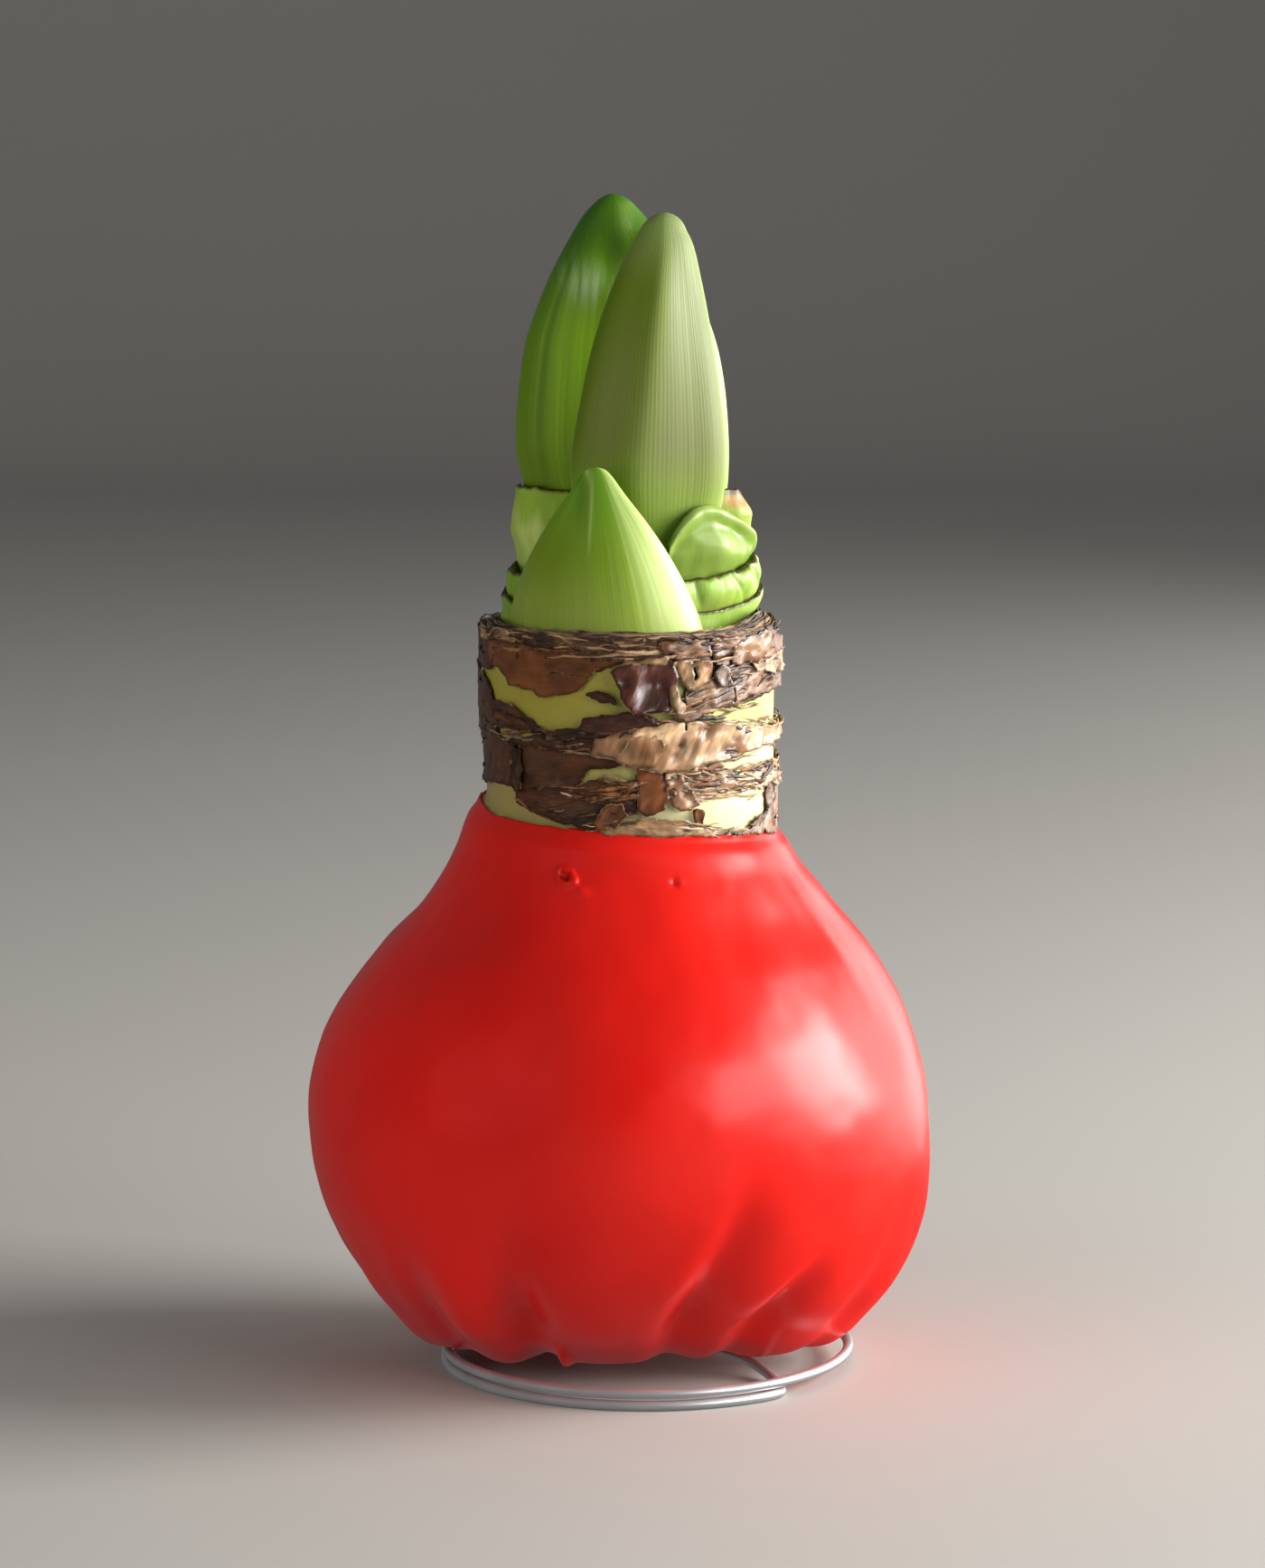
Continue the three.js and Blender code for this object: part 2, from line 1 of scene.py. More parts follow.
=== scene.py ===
"""A waxed amaryllis bulb on a coil of wire: the visible surface of every piece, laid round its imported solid.

Lengths in the shape functions are millimetres, in the frame of the solids. They become metres in a mesh.
"turn" is an angle round an upright axis, seen from above: 0 is the front (-Y), 90 degrees the right (+X).
"""

import math
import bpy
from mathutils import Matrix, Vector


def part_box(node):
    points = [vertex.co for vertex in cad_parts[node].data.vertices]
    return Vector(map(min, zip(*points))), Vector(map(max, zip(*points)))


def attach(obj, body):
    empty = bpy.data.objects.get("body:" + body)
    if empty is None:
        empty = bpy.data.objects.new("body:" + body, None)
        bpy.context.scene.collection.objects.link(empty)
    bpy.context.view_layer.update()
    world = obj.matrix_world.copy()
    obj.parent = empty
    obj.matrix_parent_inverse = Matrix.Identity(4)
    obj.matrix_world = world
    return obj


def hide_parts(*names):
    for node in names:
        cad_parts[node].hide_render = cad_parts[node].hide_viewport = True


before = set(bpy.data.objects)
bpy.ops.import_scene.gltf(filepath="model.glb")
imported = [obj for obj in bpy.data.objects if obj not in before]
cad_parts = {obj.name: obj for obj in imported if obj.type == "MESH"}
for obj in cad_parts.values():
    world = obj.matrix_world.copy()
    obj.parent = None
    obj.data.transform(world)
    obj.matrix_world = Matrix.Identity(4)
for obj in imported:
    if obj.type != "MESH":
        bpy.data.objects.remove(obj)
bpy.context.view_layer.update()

from types import SimpleNamespace

import bpy
import numpy as np
from mathutils import Vector

bl_info = {
    "name": "Waxed amaryllis bulb",
    "version": (1, 0, 0),
    "blender": (4, 5, 0),
    "location": "3D View > Sidebar > Waxed Bulb",
    "description": "Builds a waxed amaryllis bulb with its first shoots on a coiled wire stand",
    "category": "Object",
}

MM = 0.001


def srgb(code):
    """The linear red, green and blue of a colour written as six hexadecimal digits."""
    shown = np.array([int(code[i:i + 2], 16) / 255 for i in (0, 2, 4)])
    return np.where(shown <= 0.04045, shown / 12.92, ((shown + 0.055) / 1.055) ** 2.4)


# ---------------- sizes and colours that a user may change

def length(name, description, default):
    return bpy.props.FloatProperty(name=name, description=description, default=default, unit="LENGTH")


def colour(name, description, code):
    return bpy.props.FloatVectorProperty(name=name, description=description, default=tuple(srgb(code)),
                                         subtype="COLOR", min=0, max=1)


WAX_LOW, WAX_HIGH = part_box("wax_coat")
LEAN = 2.0  # the solid wax reaches this much higher on the left of the neck, and lower on the right


class WaxedBulbSizes(bpy.types.PropertyGroup):
    belly_half: length("Belly half width", "Half the width of the waxed bulb", (WAX_HIGH.x - WAX_LOW.x) / 2)
    neck_radius: length("Neck radius", "The neck over its dry skins", 0.0206)
    wax_top: length("Wax top", "Height where the wax ends on the neck", WAX_HIGH.z - LEAN * MM)
    neck_top: length("Neck top", "Height of the neck's cut rim", 0.1044)
    leaf_top: length("Leaf top", "Height of the back leaf's tip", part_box("back_leaf")[1].z)
    bud_top: length("Bud top", "Height of the flower bud's tip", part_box("flower_bud")[1].z)
    front_top: length("Front shoot top", "Height of the front shoot's tip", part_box("front_shoot")[1].z)
    wire: length("Wire", "Thickness of the wire", 0.0014)
    coil_radius: length("Coil radius", "From the coil's axis to the middle of the wire", 0.0283)


class WaxedBulbColours(bpy.types.PropertyGroup):
    wax: colour("Wax", "Red of the wax coat", "de180e")
    wax_deep: colour("Deep wax", "Red of the wax where it is thick", "c80f07")
    wire: colour("Wire", "Bright drawn wire", "d5d6d8")
    floor: colour("Floor", "Plain pale floor", "b9b6b0")


UMBER = srgb("28140b")
COCOA = srgb("4a260f")
CHESTNUT = srgb("6a3a18")
AMBER = srgb("8a5018")
RUST = srgb("8a5230")
FAWN = srgb("8c684c")
TAN = srgb("b08a5e")
SATIN = srgb("ccab82")
STRAW = srgb("e4cfa4")
PLUM = srgb("40211a")
ASH = srgb("86725f")


def measures(context):
    """The sizes in millimetres."""
    sizes = context.scene.waxed_bulb_sizes
    return SimpleNamespace(**{name: getattr(sizes, name) / MM for name in WaxedBulbSizes.__annotations__})


# ---------------- curves, humps and noise on whole arrays

def smoothstep(x, low, high):
    """0 below low, 1 above high, and a smooth rise 3t^2 - 2t^3 between."""
    t = np.clip((np.asarray(x, float) - low) / (high - low), 0, 1)
    return t * t * (3 - 2 * t)


def lerp(a, b, t):
    return a + (b - a) * t


def tinted(a, b, amount):
    """Colour a, with b over it by an amount at each point. A colour may be written as digits."""
    a, b = (srgb(c) if isinstance(c, str) else c for c in (a, b))
    return lerp(a, b, amount[..., None])


def hump(distance, width):
    """exp(-(distance / width)^2)"""
    return np.exp(-((distance / width) ** 2))


def apart(turn, degrees):
    """Degrees from a direction to each turn, the short way round."""
    d = np.degrees(turn) - degrees
    return d - 360 * np.round(d / 360)


def smoothly(rows, x):
    """Cubic curves through rows [x, value, ...]. A row's slope is the mean of its two chords' slopes."""
    table = np.asarray(rows, float)
    at, values = table[:, 0], table[:, 1:]
    chord = np.diff(values, axis=0) / np.diff(at)[:, None]
    slope = np.vstack([chord[:1], (chord[1:] + chord[:-1]) / 2, chord[-1:]])
    x = np.clip(x, at[0], at[-1])
    i = np.clip(np.searchsorted(at, x, side="right") - 1, 0, len(at) - 2)
    span = (at[i + 1] - at[i])[..., None]
    t = (x - at[i])[..., None] / span
    ahead = values[i + 1] - values[i]
    return (values[i] + t * (slope[i] * span)
            + t * t * (3 * ahead - span * (2 * slope[i] + slope[i + 1]))
            + t ** 3 * (span * (slope[i] + slope[i + 1]) - 2 * ahead))


def round_edge(rows, turn):
    """A height given at some degrees right round, from -180 to 180, at each turn."""
    return smoothly(rows, apart(turn, 0))[..., 0]


def centripetal(points, share):
    """A centripetal Catmull-Rom curve through points, at shares of its spans, with mirrored end points."""
    p = np.asarray(points, float)
    p = np.vstack([2 * p[0] - p[1], p, 2 * p[-1] - p[-2]])
    spans = len(points) - 1
    at = np.clip(share, 0, 1) * spans
    i = np.minimum(at.astype(int), spans - 1)
    t = (at - i)[..., None]
    p0, p1, p2, p3 = (p[i + k] for k in range(4))
    pairs = ((p0, p1), (p1, p2), (p2, p3))
    d0, d1, d2 = (np.linalg.norm(b - a, axis=-1, keepdims=True) ** 0.5 for a, b in pairs)
    slope1 = ((p1 - p0) / d0 - (p2 - p0) / (d0 + d1) + (p2 - p1) / d1) * d1
    slope2 = ((p2 - p1) / d1 - (p3 - p1) / (d1 + d2) + (p3 - p2) / d2) * d1
    return (p1 + slope1 * t + (3 * (p2 - p1) - 2 * slope1 - slope2) * t ** 2
            + (2 * (p1 - p2) + slope1 + slope2) * t ** 3)


def noise(u, v, seed, around=0):
    """Smooth noise from -1 to 1: random values on a lattice of unit squares, blended between its corners.
    It repeats after that many squares of u where around is given."""
    size = 128
    lattice = np.random.default_rng(seed).uniform(-1, 1, (size, size))
    u, v = np.broadcast_arrays(np.asarray(u, float), np.asarray(v, float))
    i, j = np.floor(u).astype(int), np.floor(v).astype(int)
    s, t = u - i, v - j
    s, t = s * s * (3 - 2 * s), t * t * (3 - 2 * t)

    def corner(a, b):
        return lattice[(a % around if around else a) % size, b % size]

    low = lerp(corner(i, j), corner(i + 1, j), s)
    high = lerp(corner(i, j + 1), corner(i + 1, j + 1), s)
    return lerp(low, high, t)


def rough(u, v, seed, octaves, around=0):
    """Noise added up over octaves, each twice as fine and half as high."""
    return sum(noise(u * 2 ** k, v * 2 ** k, seed + k, around * 2 ** k) / 2 ** k for k in range(octaves))


def gathered(x, humps):
    """The sum of humps (middle, width, strength)."""
    return sum(strength * hump(x - middle, width) for middle, width, strength in humps)


def crowded(low, high, count, humps):
    """Places from low up to high, which is left out. They stand closer where the humps gather."""
    fine = np.linspace(low, high, 4000)
    density = 1 + gathered(fine, humps)
    sums = np.concatenate([[0], np.cumsum((density[1:] + density[:-1]) / 2)])
    return np.interp(np.linspace(0, sums[-1], count, endpoint=False), sums, fine)


# ---------------- patches: points, faces and what the materials read

# A patch is its points' rows, its quads and its triangles. A row holds a point (3), its tint (3) and how
# fibrous it is (1), its place along the grain (3), and how far it lies from a torn edge (1).
POINT, TINT, GRAIN, EDGE = slice(0, 3), slice(3, 7), slice(7, 10), slice(10, 11)

# What the materials read of a point: the attribute's name, its type, its field and its columns.
ATTRIBUTES = (("tint", "FLOAT_COLOR", "color", TINT), ("grain", "FLOAT_VECTOR", "vector", GRAIN),
              ("edge", "FLOAT", "value", EDGE))
NO_TRIANGLES = np.empty((0, 3), int)


def rows_of(points, tint, grain, edge=1.0, fibrous=1.0):
    shape = points.shape[:-1]

    def column(value):
        return np.broadcast_to(np.asarray(value, float)[..., None], shape + (1,))

    return np.concatenate([points, np.broadcast_to(tint, shape + (3,)), column(fibrous),
                           np.broadcast_to(grain, shape + (3,)), column(edge)], -1)


def grid_quads(rows, columns, closed_rows=False):
    """The squares of a grid whose columns run right round. They face outwards where columns go round by turn
    and rows go up."""
    row = np.arange(rows if closed_rows else rows - 1)[:, None]
    low, high = row * columns, (row + 1) % rows * columns
    j = np.arange(columns)[None, :]
    j2 = (j + 1) % columns
    return np.stack([low + j, low + j2, high + j2, high + j], -1).reshape(-1, 4)


def shell(grid):
    """A closed surface of a grid whose rows and columns both run right round."""
    rows, columns = grid.shape[:2]
    return grid.reshape(-1, grid.shape[-1]), grid_quads(rows, columns, closed_rows=True), NO_TRIANGLES


def spindle(grid):
    """A closed surface of rows that run right round, with a pole in the middle of the first and last row."""
    rows, columns = grid.shape[:2]
    data = np.vstack([grid.reshape(-1, grid.shape[-1]), grid[0].mean(0), grid[-1].mean(0)])
    j = np.arange(columns)
    j2 = (j + 1) % columns
    last = (rows - 1) * columns
    foot = np.stack([j2, j, np.full(columns, rows * columns)], -1)
    head = np.stack([last + j, last + j2, np.full(columns, rows * columns + 1)], -1)
    return data, grid_quads(rows, columns), np.vstack([foot, head])


def joined(patches):
    """Several patches as one, with their faces renumbered."""
    starts = np.cumsum([0] + [len(data) for data, _, _ in patches])
    return (np.vstack([data for data, _, _ in patches]),
            np.vstack([quads + start for (_, quads, _), start in zip(patches, starts)]),
            np.vstack([triangles + start for (_, _, triangles), start in zip(patches, starts)]))


def round_grain(turn, z, across, deep):
    """A grain that counts the way round on an oval of these half sizes, and the way up."""
    return np.stack([across * np.sin(turn) + 0 * z, -deep * np.cos(turn) + 0 * z, z + 0 * turn], -1)


def tubes(centres, side, half_side, half_up, sections, tint, grain):
    """Closed tubes, one for each row of centres. A station's oval has half_side along side, and half_up
    along the direction that is upright on side and on the tube."""
    ahead = np.gradient(centres, axis=1)
    ahead /= np.linalg.norm(ahead, axis=-1, keepdims=True)
    up = np.cross(side, ahead)
    up /= np.linalg.norm(up, axis=-1, keepdims=True)
    a = 2 * np.pi * np.arange(sections) / sections
    points = (centres[:, :, None] + side[:, :, None] * (half_side[..., None] * np.cos(a))[..., None]
              + up[:, :, None] * (half_up[..., None] * np.sin(a))[..., None])
    count, stations = centres.shape[:2]
    data = rows_of(points, tint[:, :, None], grain[:, :, None])
    fan = np.array([[0, k, k + 1, k + 2] for k in range(1, sections - 2, 2)])
    end = fan[:, ::-1] + (stations - 1) * sections
    one = np.vstack([grid_quads(stations, sections)[:, ::-1], fan, end])
    first = np.arange(count)[:, None, None] * stations * sections
    return data.reshape(-1, data.shape[-1]), (one[None] + first).reshape(-1, 4), NO_TRIANGLES


def make_piece(patch, name, material, nodes):
    """Puts a patch into a mesh, and lays it round the solids that it stands for."""
    data, quads, triangles = patch
    mesh = bpy.data.meshes.new(name)
    mesh.vertices.add(len(data))
    mesh.vertices.foreach_set("co", (data[:, POINT] * MM).astype(np.float32).ravel())
    corners = np.concatenate([quads.ravel(), triangles.ravel()])
    starts = np.concatenate([np.arange(len(quads)) * 4, quads.size + np.arange(len(triangles)) * 3])
    mesh.loops.add(len(corners))
    mesh.loops.foreach_set("vertex_index", corners.astype(np.int32))
    mesh.polygons.add(len(starts))
    mesh.polygons.foreach_set("loop_start", starts.astype(np.int32))
    mesh.polygons.foreach_set("use_smooth", np.ones(len(starts), bool))
    for attribute, kind, field, columns in ATTRIBUTES:
        made = mesh.attributes.new(attribute, kind, "POINT")
        made.data.foreach_set(field, data[:, columns].astype(np.float32).ravel())
    mesh.update(calc_edges=True)
    if mesh.validate():
        raise RuntimeError(f"{name} has faces that are not sound")
    piece = bpy.data.objects.new(name, mesh)
    bpy.context.scene.collection.objects.link(piece)
    piece.data.materials.append(material)
    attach(piece, "root")
    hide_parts(*nodes)


# ---------------- shader building blocks

def feed(tree, socket, value):
    """Wires an output to a socket, or sets the socket to a value."""
    if isinstance(value, bpy.types.NodeSocket):
        tree.links.new(value, socket)
    else:
        socket.default_value = value


def add_node(tree, kind, inputs=None, **settings):
    """Places a node. Each input is a number, a colour or the output that is wired to it."""
    placed = tree.nodes.new(kind)
    for name, value in settings.items():
        setattr(placed, name, value)
    for name, value in (inputs or {}).items():
        feed(tree, placed.inputs[name], value)
    return placed


def as_colour(value):
    """An output as it is, and red, green and blue with an alpha of 1."""
    return value if isinstance(value, bpy.types.NodeSocket) else (*value[:3], 1)


def blend(tree, factor, a, b):
    """Colour a, with b over it by factor."""
    inputs = {0: factor, 6: as_colour(a), 7: as_colour(b)}
    return add_node(tree, "ShaderNodeMix", inputs, data_type="RGBA").outputs[2]


def arithmetic(tree, operation, a, b):
    return add_node(tree, "ShaderNodeMath", {0: a, 1: b}, operation=operation).outputs[0]


def product(tree, a, b):
    return arithmetic(tree, "MULTIPLY", a, b)


def added(tree, a, b):
    return arithmetic(tree, "ADD", a, b)


def between(tree, value, low, high, to_low, to_high):
    """A value from low to high as one from to_low to to_high."""
    inputs = {"Value": value, "From Min": low, "From Max": high, "To Min": to_low, "To Max": to_high}
    return add_node(tree, "ShaderNodeMapRange", inputs).outputs["Result"]


def cut(tree, value, low, high, interpolation="SMOOTHSTEP"):
    """0 at low and 1 at high."""
    inputs = {"Value": value, "From Min": low, "From Max": high}
    return add_node(tree, "ShaderNodeMapRange", inputs, interpolation_type=interpolation).outputs["Result"]


def use_mask(tree, name, build, **given):
    """The mask of the node group of that name. build(group, sockets) wires a group not made before."""
    group = bpy.data.node_groups.get(name)
    if group is None:
        group = bpy.data.node_groups.new(name, "ShaderNodeTree")
        for socket, value in given.items():
            is_vector = isinstance(value, (tuple, bpy.types.NodeSocketVector))
            kind = "NodeSocketVector" if is_vector else "NodeSocketFloat"
            group.interface.new_socket(socket, in_out="INPUT", socket_type=kind)
        group.interface.new_socket("Mask", in_out="OUTPUT", socket_type="NodeSocketFloat")
        sockets = group.nodes.new("NodeGroupInput").outputs
        out = group.nodes.new("NodeGroupOutput").inputs
        group.links.new(build(group, sockets), out["Mask"])
    return add_node(tree, "ShaderNodeGroup", given, node_tree=group).outputs["Mask"]


def spots(group, vector, scale, detail):
    """Noise of the given scale and detail."""
    inputs = {"Vector": vector, "Scale": scale, "Detail": detail}
    return add_node(group, "ShaderNodeTexNoise", inputs).outputs["Fac"]


def patch_mask(tree, vector, scale, detail, low, high):
    """Soft-edged patches: noise of the given scale, cut between low and high."""
    def build(group, given):
        noise_value = spots(group, given["Vector"], given["Scale"], given["Detail"])
        return cut(group, noise_value, given["Low"], given["High"])
    return use_mask(tree, "Patches", build, Vector=vector, Scale=scale, Detail=detail, Low=low, High=high)


def fibre_mask(tree, vector, stretch, detail, low, high):
    """Fibres along the grain: noise drawn out by the stretch, which scales the grain's three directions."""
    def build(group, given):
        drawn = add_node(group, "ShaderNodeVectorMath", {0: given["Vector"], 1: given["Stretch"]},
                         operation="MULTIPLY")
        strands = spots(group, drawn.outputs[0], 1.0, given["Detail"])
        return cut(group, strands, given["Low"], given["High"], "LINEAR")
    return use_mask(tree, "Fibres", build, Vector=vector, Stretch=stretch, Detail=detail, Low=low, High=high)


def margin_mask(tree, edge, vector, scale, width, roughness):
    """A dry margin: where the distance to the torn edge, roughened by noise, is less than the width."""
    def build(group, given):
        centred = arithmetic(group, "SUBTRACT", spots(group, given["Vector"], given["Scale"], 3.0), 0.5)
        place = added(group, given["Edge"], product(group, centred, given["Roughness"]))
        return cut(group, place, given["Width"], 0.0)
    return use_mask(tree, "Dry margin", build, Edge=edge, Vector=vector, Scale=scale, Width=width,
                    Roughness=roughness)


def finish_material(name, build):
    """A material whose build(tree, shader, read) wires the shader up. read(name) gives an attribute."""
    material = bpy.data.materials.get(name)
    if material is None:
        material = bpy.data.materials.new(name)
        material.use_nodes = True
        tree = material.node_tree
        tree.nodes.clear()
        shader = tree.nodes.new("ShaderNodeBsdfPrincipled")
        out = tree.nodes.new("ShaderNodeOutputMaterial")
        tree.links.new(shader.outputs[0], out.inputs["Surface"])

        def read(attribute, output="Vector"):
            return add_node(tree, "ShaderNodeAttribute", attribute_name=attribute).outputs[output]

        build(tree, shader, read)
    return material


def wire_up(tree, shader, base, roughness, height=None, relief=0.05, subsurface=(), **constants):
    """Colour, roughness and height (of that many millimetres) go to the shader. The subsurface weight, scale
    and radius, and the constants, stay on its own sockets."""
    tree.links.new(base, shader.inputs["Base Color"])
    tree.links.new(roughness, shader.inputs["Roughness"])
    if height is not None:
        bump = add_node(tree, "ShaderNodeBump", {"Height": height, "Distance": relief * MM, "Strength": 1.0})
        tree.links.new(bump.outputs["Normal"], shader.inputs["Normal"])
    for name, value in zip(("Subsurface Weight", "Subsurface Scale", "Subsurface Radius"), subsurface):
        shader.inputs[name].default_value = value
    for name, value in constants.items():
        shader.inputs[name.replace("_", " ").title().replace("Ior", "IOR")].default_value = value


# ---------------- materials

def wax_material(colours):
    def build(tree, shader, read):
        grain = read("grain")
        lumps = patch_mask(tree, grain, 0.05, 1.0, 0.15, 0.85)
        body = blend(tree, lumps, colours.wax_deep, colours.wax)
        bloom = patch_mask(tree, grain, 0.09, 1.0, 0.1, 0.9)
        body = blend(tree, product(tree, bloom, 0.1), body, srgb("e43c2a"))
        scar = between(tree, read("edge", "Fac"), 0.0, 1.0, 1.0, 0.0)
        body = blend(tree, scar, body, srgb("3f1009"))
        matt = added(tree, between(tree, lumps, 0, 1, 0.26, 0.31), between(tree, bloom, 0, 1, 0, 0.05))
        wire_up(tree, shader, body, matt, subsurface=(0.2, 0.004, (1.0, 0.12, 0.06)),
                specular_ior_level=0.36)
    return finish_material("Red wax", build)


def wire_material(colours):
    def build(tree, shader, read):
        dull = patch_mask(tree, read("grain"), 0.2, 1.0, 0.1, 0.9)
        base = blend(tree, product(tree, dull, 0.35), colours.wire, srgb("a3a4a6"))
        wire_up(tree, shader, base, between(tree, dull, 0, 1, 0.26, 0.38), metallic=0.72)
    return finish_material("Galvanised wire", build)


def flesh_material():
    def build(tree, shader, read):
        grain = read("grain")
        veins = fibre_mask(tree, grain, (1.1, 1.1, 0.1), 3.0, 0.3, 0.75)
        base = blend(tree, product(tree, veins, 0.08), read("tint", "Color"), srgb("7d8a3c"))
        flecks = patch_mask(tree, grain, 0.8, 5.0, 0.58, 0.74)
        base = blend(tree, product(tree, flecks, 0.3), base, srgb("8a7443"))
        wire_up(tree, shader, base, between(tree, veins, 0, 1, 0.32, 0.4), veins, 0.015,
                subsurface=(0.15, 0.002, (1.0, 0.9, 0.3)), specular_ior_level=0.4)
    return finish_material("Bulb flesh", build)


def dry_skin_material():
    """Dry skin is smooth and satiny where it lies whole, and streaked by fibres where it has frayed: the
    tint's alpha tells how much. Creases get painted shade in their valleys and a little painted highlight
    on their crests. It is darkest a little inside its torn edges, and has a painted highlight on the edge
    itself in places."""
    def build(tree, shader, read):
        grain, edge, fibrous = read("grain"), read("edge", "Fac"), read("tint", "Alpha")
        fray = fibre_mask(tree, grain, (0.3, 1.7, 1.0), 5.0, 0.38, 0.68)
        threads = fibre_mask(tree, grain, (0.7, 7.0, 1.0), 3.0, 0.45, 0.8)
        stains = patch_mask(tree, grain, 0.45, 5.0, 0.45, 0.72)
        creases = fibre_mask(tree, grain, (0.16, 0.42, 0.4), 4.0, 0.2, 0.8)
        dark = product(tree, fray, between(tree, fibrous, 0, 1, 0.1, 0.55))
        base = blend(tree, dark, read("tint", "Color"), UMBER)
        stained = product(tree, stains, between(tree, fibrous, 0, 1, 0.05, 0.5))
        base = blend(tree, stained, base, UMBER)
        pale = product(tree, threads, between(tree, fibrous, 0, 1, 0.02, 0.2))
        base = blend(tree, pale, base, STRAW)
        # Painted shade in the valleys of the creases, and a little painted highlight on their crests.
        base = blend(tree, between(tree, creases, 0.1, 0.5, 0.45, 0), base, UMBER)
        base = blend(tree, between(tree, creases, 0.55, 0.8, 0, 0.06), base, TAN)
        margin = margin_mask(tree, edge, grain, 0.7, 0.8, 1.1)
        base = blend(tree, product(tree, margin, 0.6), base, UMBER)
        # A painted highlight on the torn edge, in patches.
        lit = patch_mask(tree, grain, 0.5, 2.0, 0.54, 0.64)
        rim = margin_mask(tree, edge, grain, 1.5, 0.14, 0.2)
        base = blend(tree, product(tree, rim, product(tree, lit, 0.7)), base, TAN)
        matt = added(tree, between(tree, fibrous, 0, 1, 0.27, 0.45), between(tree, stains, 0, 1, 0, 0.12))
        height = added(tree, fray, between(tree, threads, 0, 1, 0, 0.25))
        height = product(tree, height, between(tree, fibrous, 0, 1, 0.12, 0.8))
        crumpled = product(tree, creases, between(tree, fibrous, 0.02, 0.12, 0.8, 4.2))
        wire_up(tree, shader, base, matt, added(tree, height, crumpled), 0.1, specular_ior_level=0.5)
    return finish_material("Dry bulb skin", build)


def leaf_material(name, veins, margin, roughness, relief, gleam=0.0, shine=0.38):
    """A living leaf: its tint with lengthwise veins (a colour and how strong it is), a dry margin (a colour
    and its width), and a waxy gloss."""
    def build(tree, shader, read):
        grain = read("grain")
        fine = fibre_mask(tree, grain, (2.2, 2.2, 0.03), 2.0, 0.35, 0.65)
        broad = fibre_mask(tree, grain, (0.4, 0.4, 0.025), 3.0, 0.3, 0.7)
        base = blend(tree, product(tree, fine, veins[1]), read("tint", "Color"), veins[0])
        base = blend(tree, product(tree, broad, veins[1] * 0.8), base, veins[0])
        rim = margin_mask(tree, read("edge", "Fac"), grain, 1.6, margin[1], 0.5)
        base = blend(tree, rim, base, margin[0])
        matt = between(tree, broad, 0, 1, roughness, roughness + 0.1)
        wire_up(tree, shader, base, matt, fine, relief, subsurface=(0.15, 0.002, (0.5, 1.0, 0.15)),
                specular_ior_level=shine, coat_weight=gleam, coat_roughness=0.2)
    return finish_material(name, build)


def floor_material(colours):
    def build(tree, shader, read):
        place = add_node(tree, "ShaderNodeTexCoord").outputs["Object"]
        cloud = patch_mask(tree, place, 6.0, 3.0, 0.3, 0.7)
        base = blend(tree, product(tree, cloud, 0.05), colours.floor, srgb("aba7a1"))
        wire_up(tree, shader, base, between(tree, cloud, 0, 1, 0.6, 0.68))
    return finish_material("Pale floor", build)


# ---------------- the skin line of the bulb

NECK_X = 1.3  # the neck stands a little right of the origin
COIL_X, COIL_Y = 4.0, 2.0
SPIKE_X, SPIKE_TOP = 2.6, 20.0
HOLE = 1.0  # radius of the spike's hole
GAP = 0.3
BULB_NECK = 0.5  # the bare scale lies this far under the neck's outline
WELL_FLOOR = 97.6


def skin_line_points(m):
    """Half width, half depth in front, and height, from the middle of the foot up to the rim."""
    belly, neck = m.belly_half, m.neck_radius
    return [
        (0, 0, 4.8), (13, 7, 4.6), (23.5, 10.8, 3.7), (28.2, 13.6, 3.4), (30.9, 17.2, 4.9),
        (33.6, 22.4, 7.9), (37.9, 30.8, 13.6), (41.2, 37.3, 20.8), (belly - 0.1, 42.2, 30.6),
        (belly - 0.3, 42.8, 40.4), (40.1, 40.1, 49.8), (34.2, 34.2, 59.1), (28.1, 28.1, 66.1),
        (24.2, 24.2, 72.2), (22.2, 22.2, 76.4), (neck + 0.1, neck + 0.1, m.wax_top), (neck, neck, 85),
        (neck, neck, 95), (neck, neck, m.neck_top),
    ]


WAX_END = 15 / 18  # the wax top's share of the skin line's spans


def sway(m, z):
    """The bulb's axis moves sideways with a slow wave of height, and ends at the neck's axis."""
    body = 0.72 + 0.92 * np.cos(2 * np.pi * (z - 10) / 62)
    return lerp(body, NECK_X, smoothstep(z, 68, m.wax_top))


# Where the wax ends on the neck: [degrees, height over the wax's mean top].
WAX_EDGE = [(-180, 0.9), (-120, 1.6), (-84, 1.5), (-64, 0.5), (-45, 0.1), (-30, -0.1), (-11, -0.4),
            (12, -0.9), (30, -1.3), (48, -1.7), (64, -2.0), (90, -2.5), (130, -1.3), (180, 0.9)]


def lean(m, turn, z):
    """How much higher the skin line runs at a turn: the wax's edge there, faded out below and above it."""
    return round_edge(WAX_EDGE, turn) * smoothstep(z, 64, m.wax_top) * (1 - smoothstep(z, m.wax_top, 95))


def skin_line(m, turn, share):
    """Half width, half depth and height at a turn. Behind its axis the bulb is nearly as deep as wide."""
    at = centripetal(skin_line_points(m), share)
    behind = smoothstep(-np.cos(turn), -0.1, 0.75)
    a, b, z = (at[..., k] + 0 * behind for k in range(3))
    return np.stack([a, lerp(b, a, 0.8 * behind), z], -1)


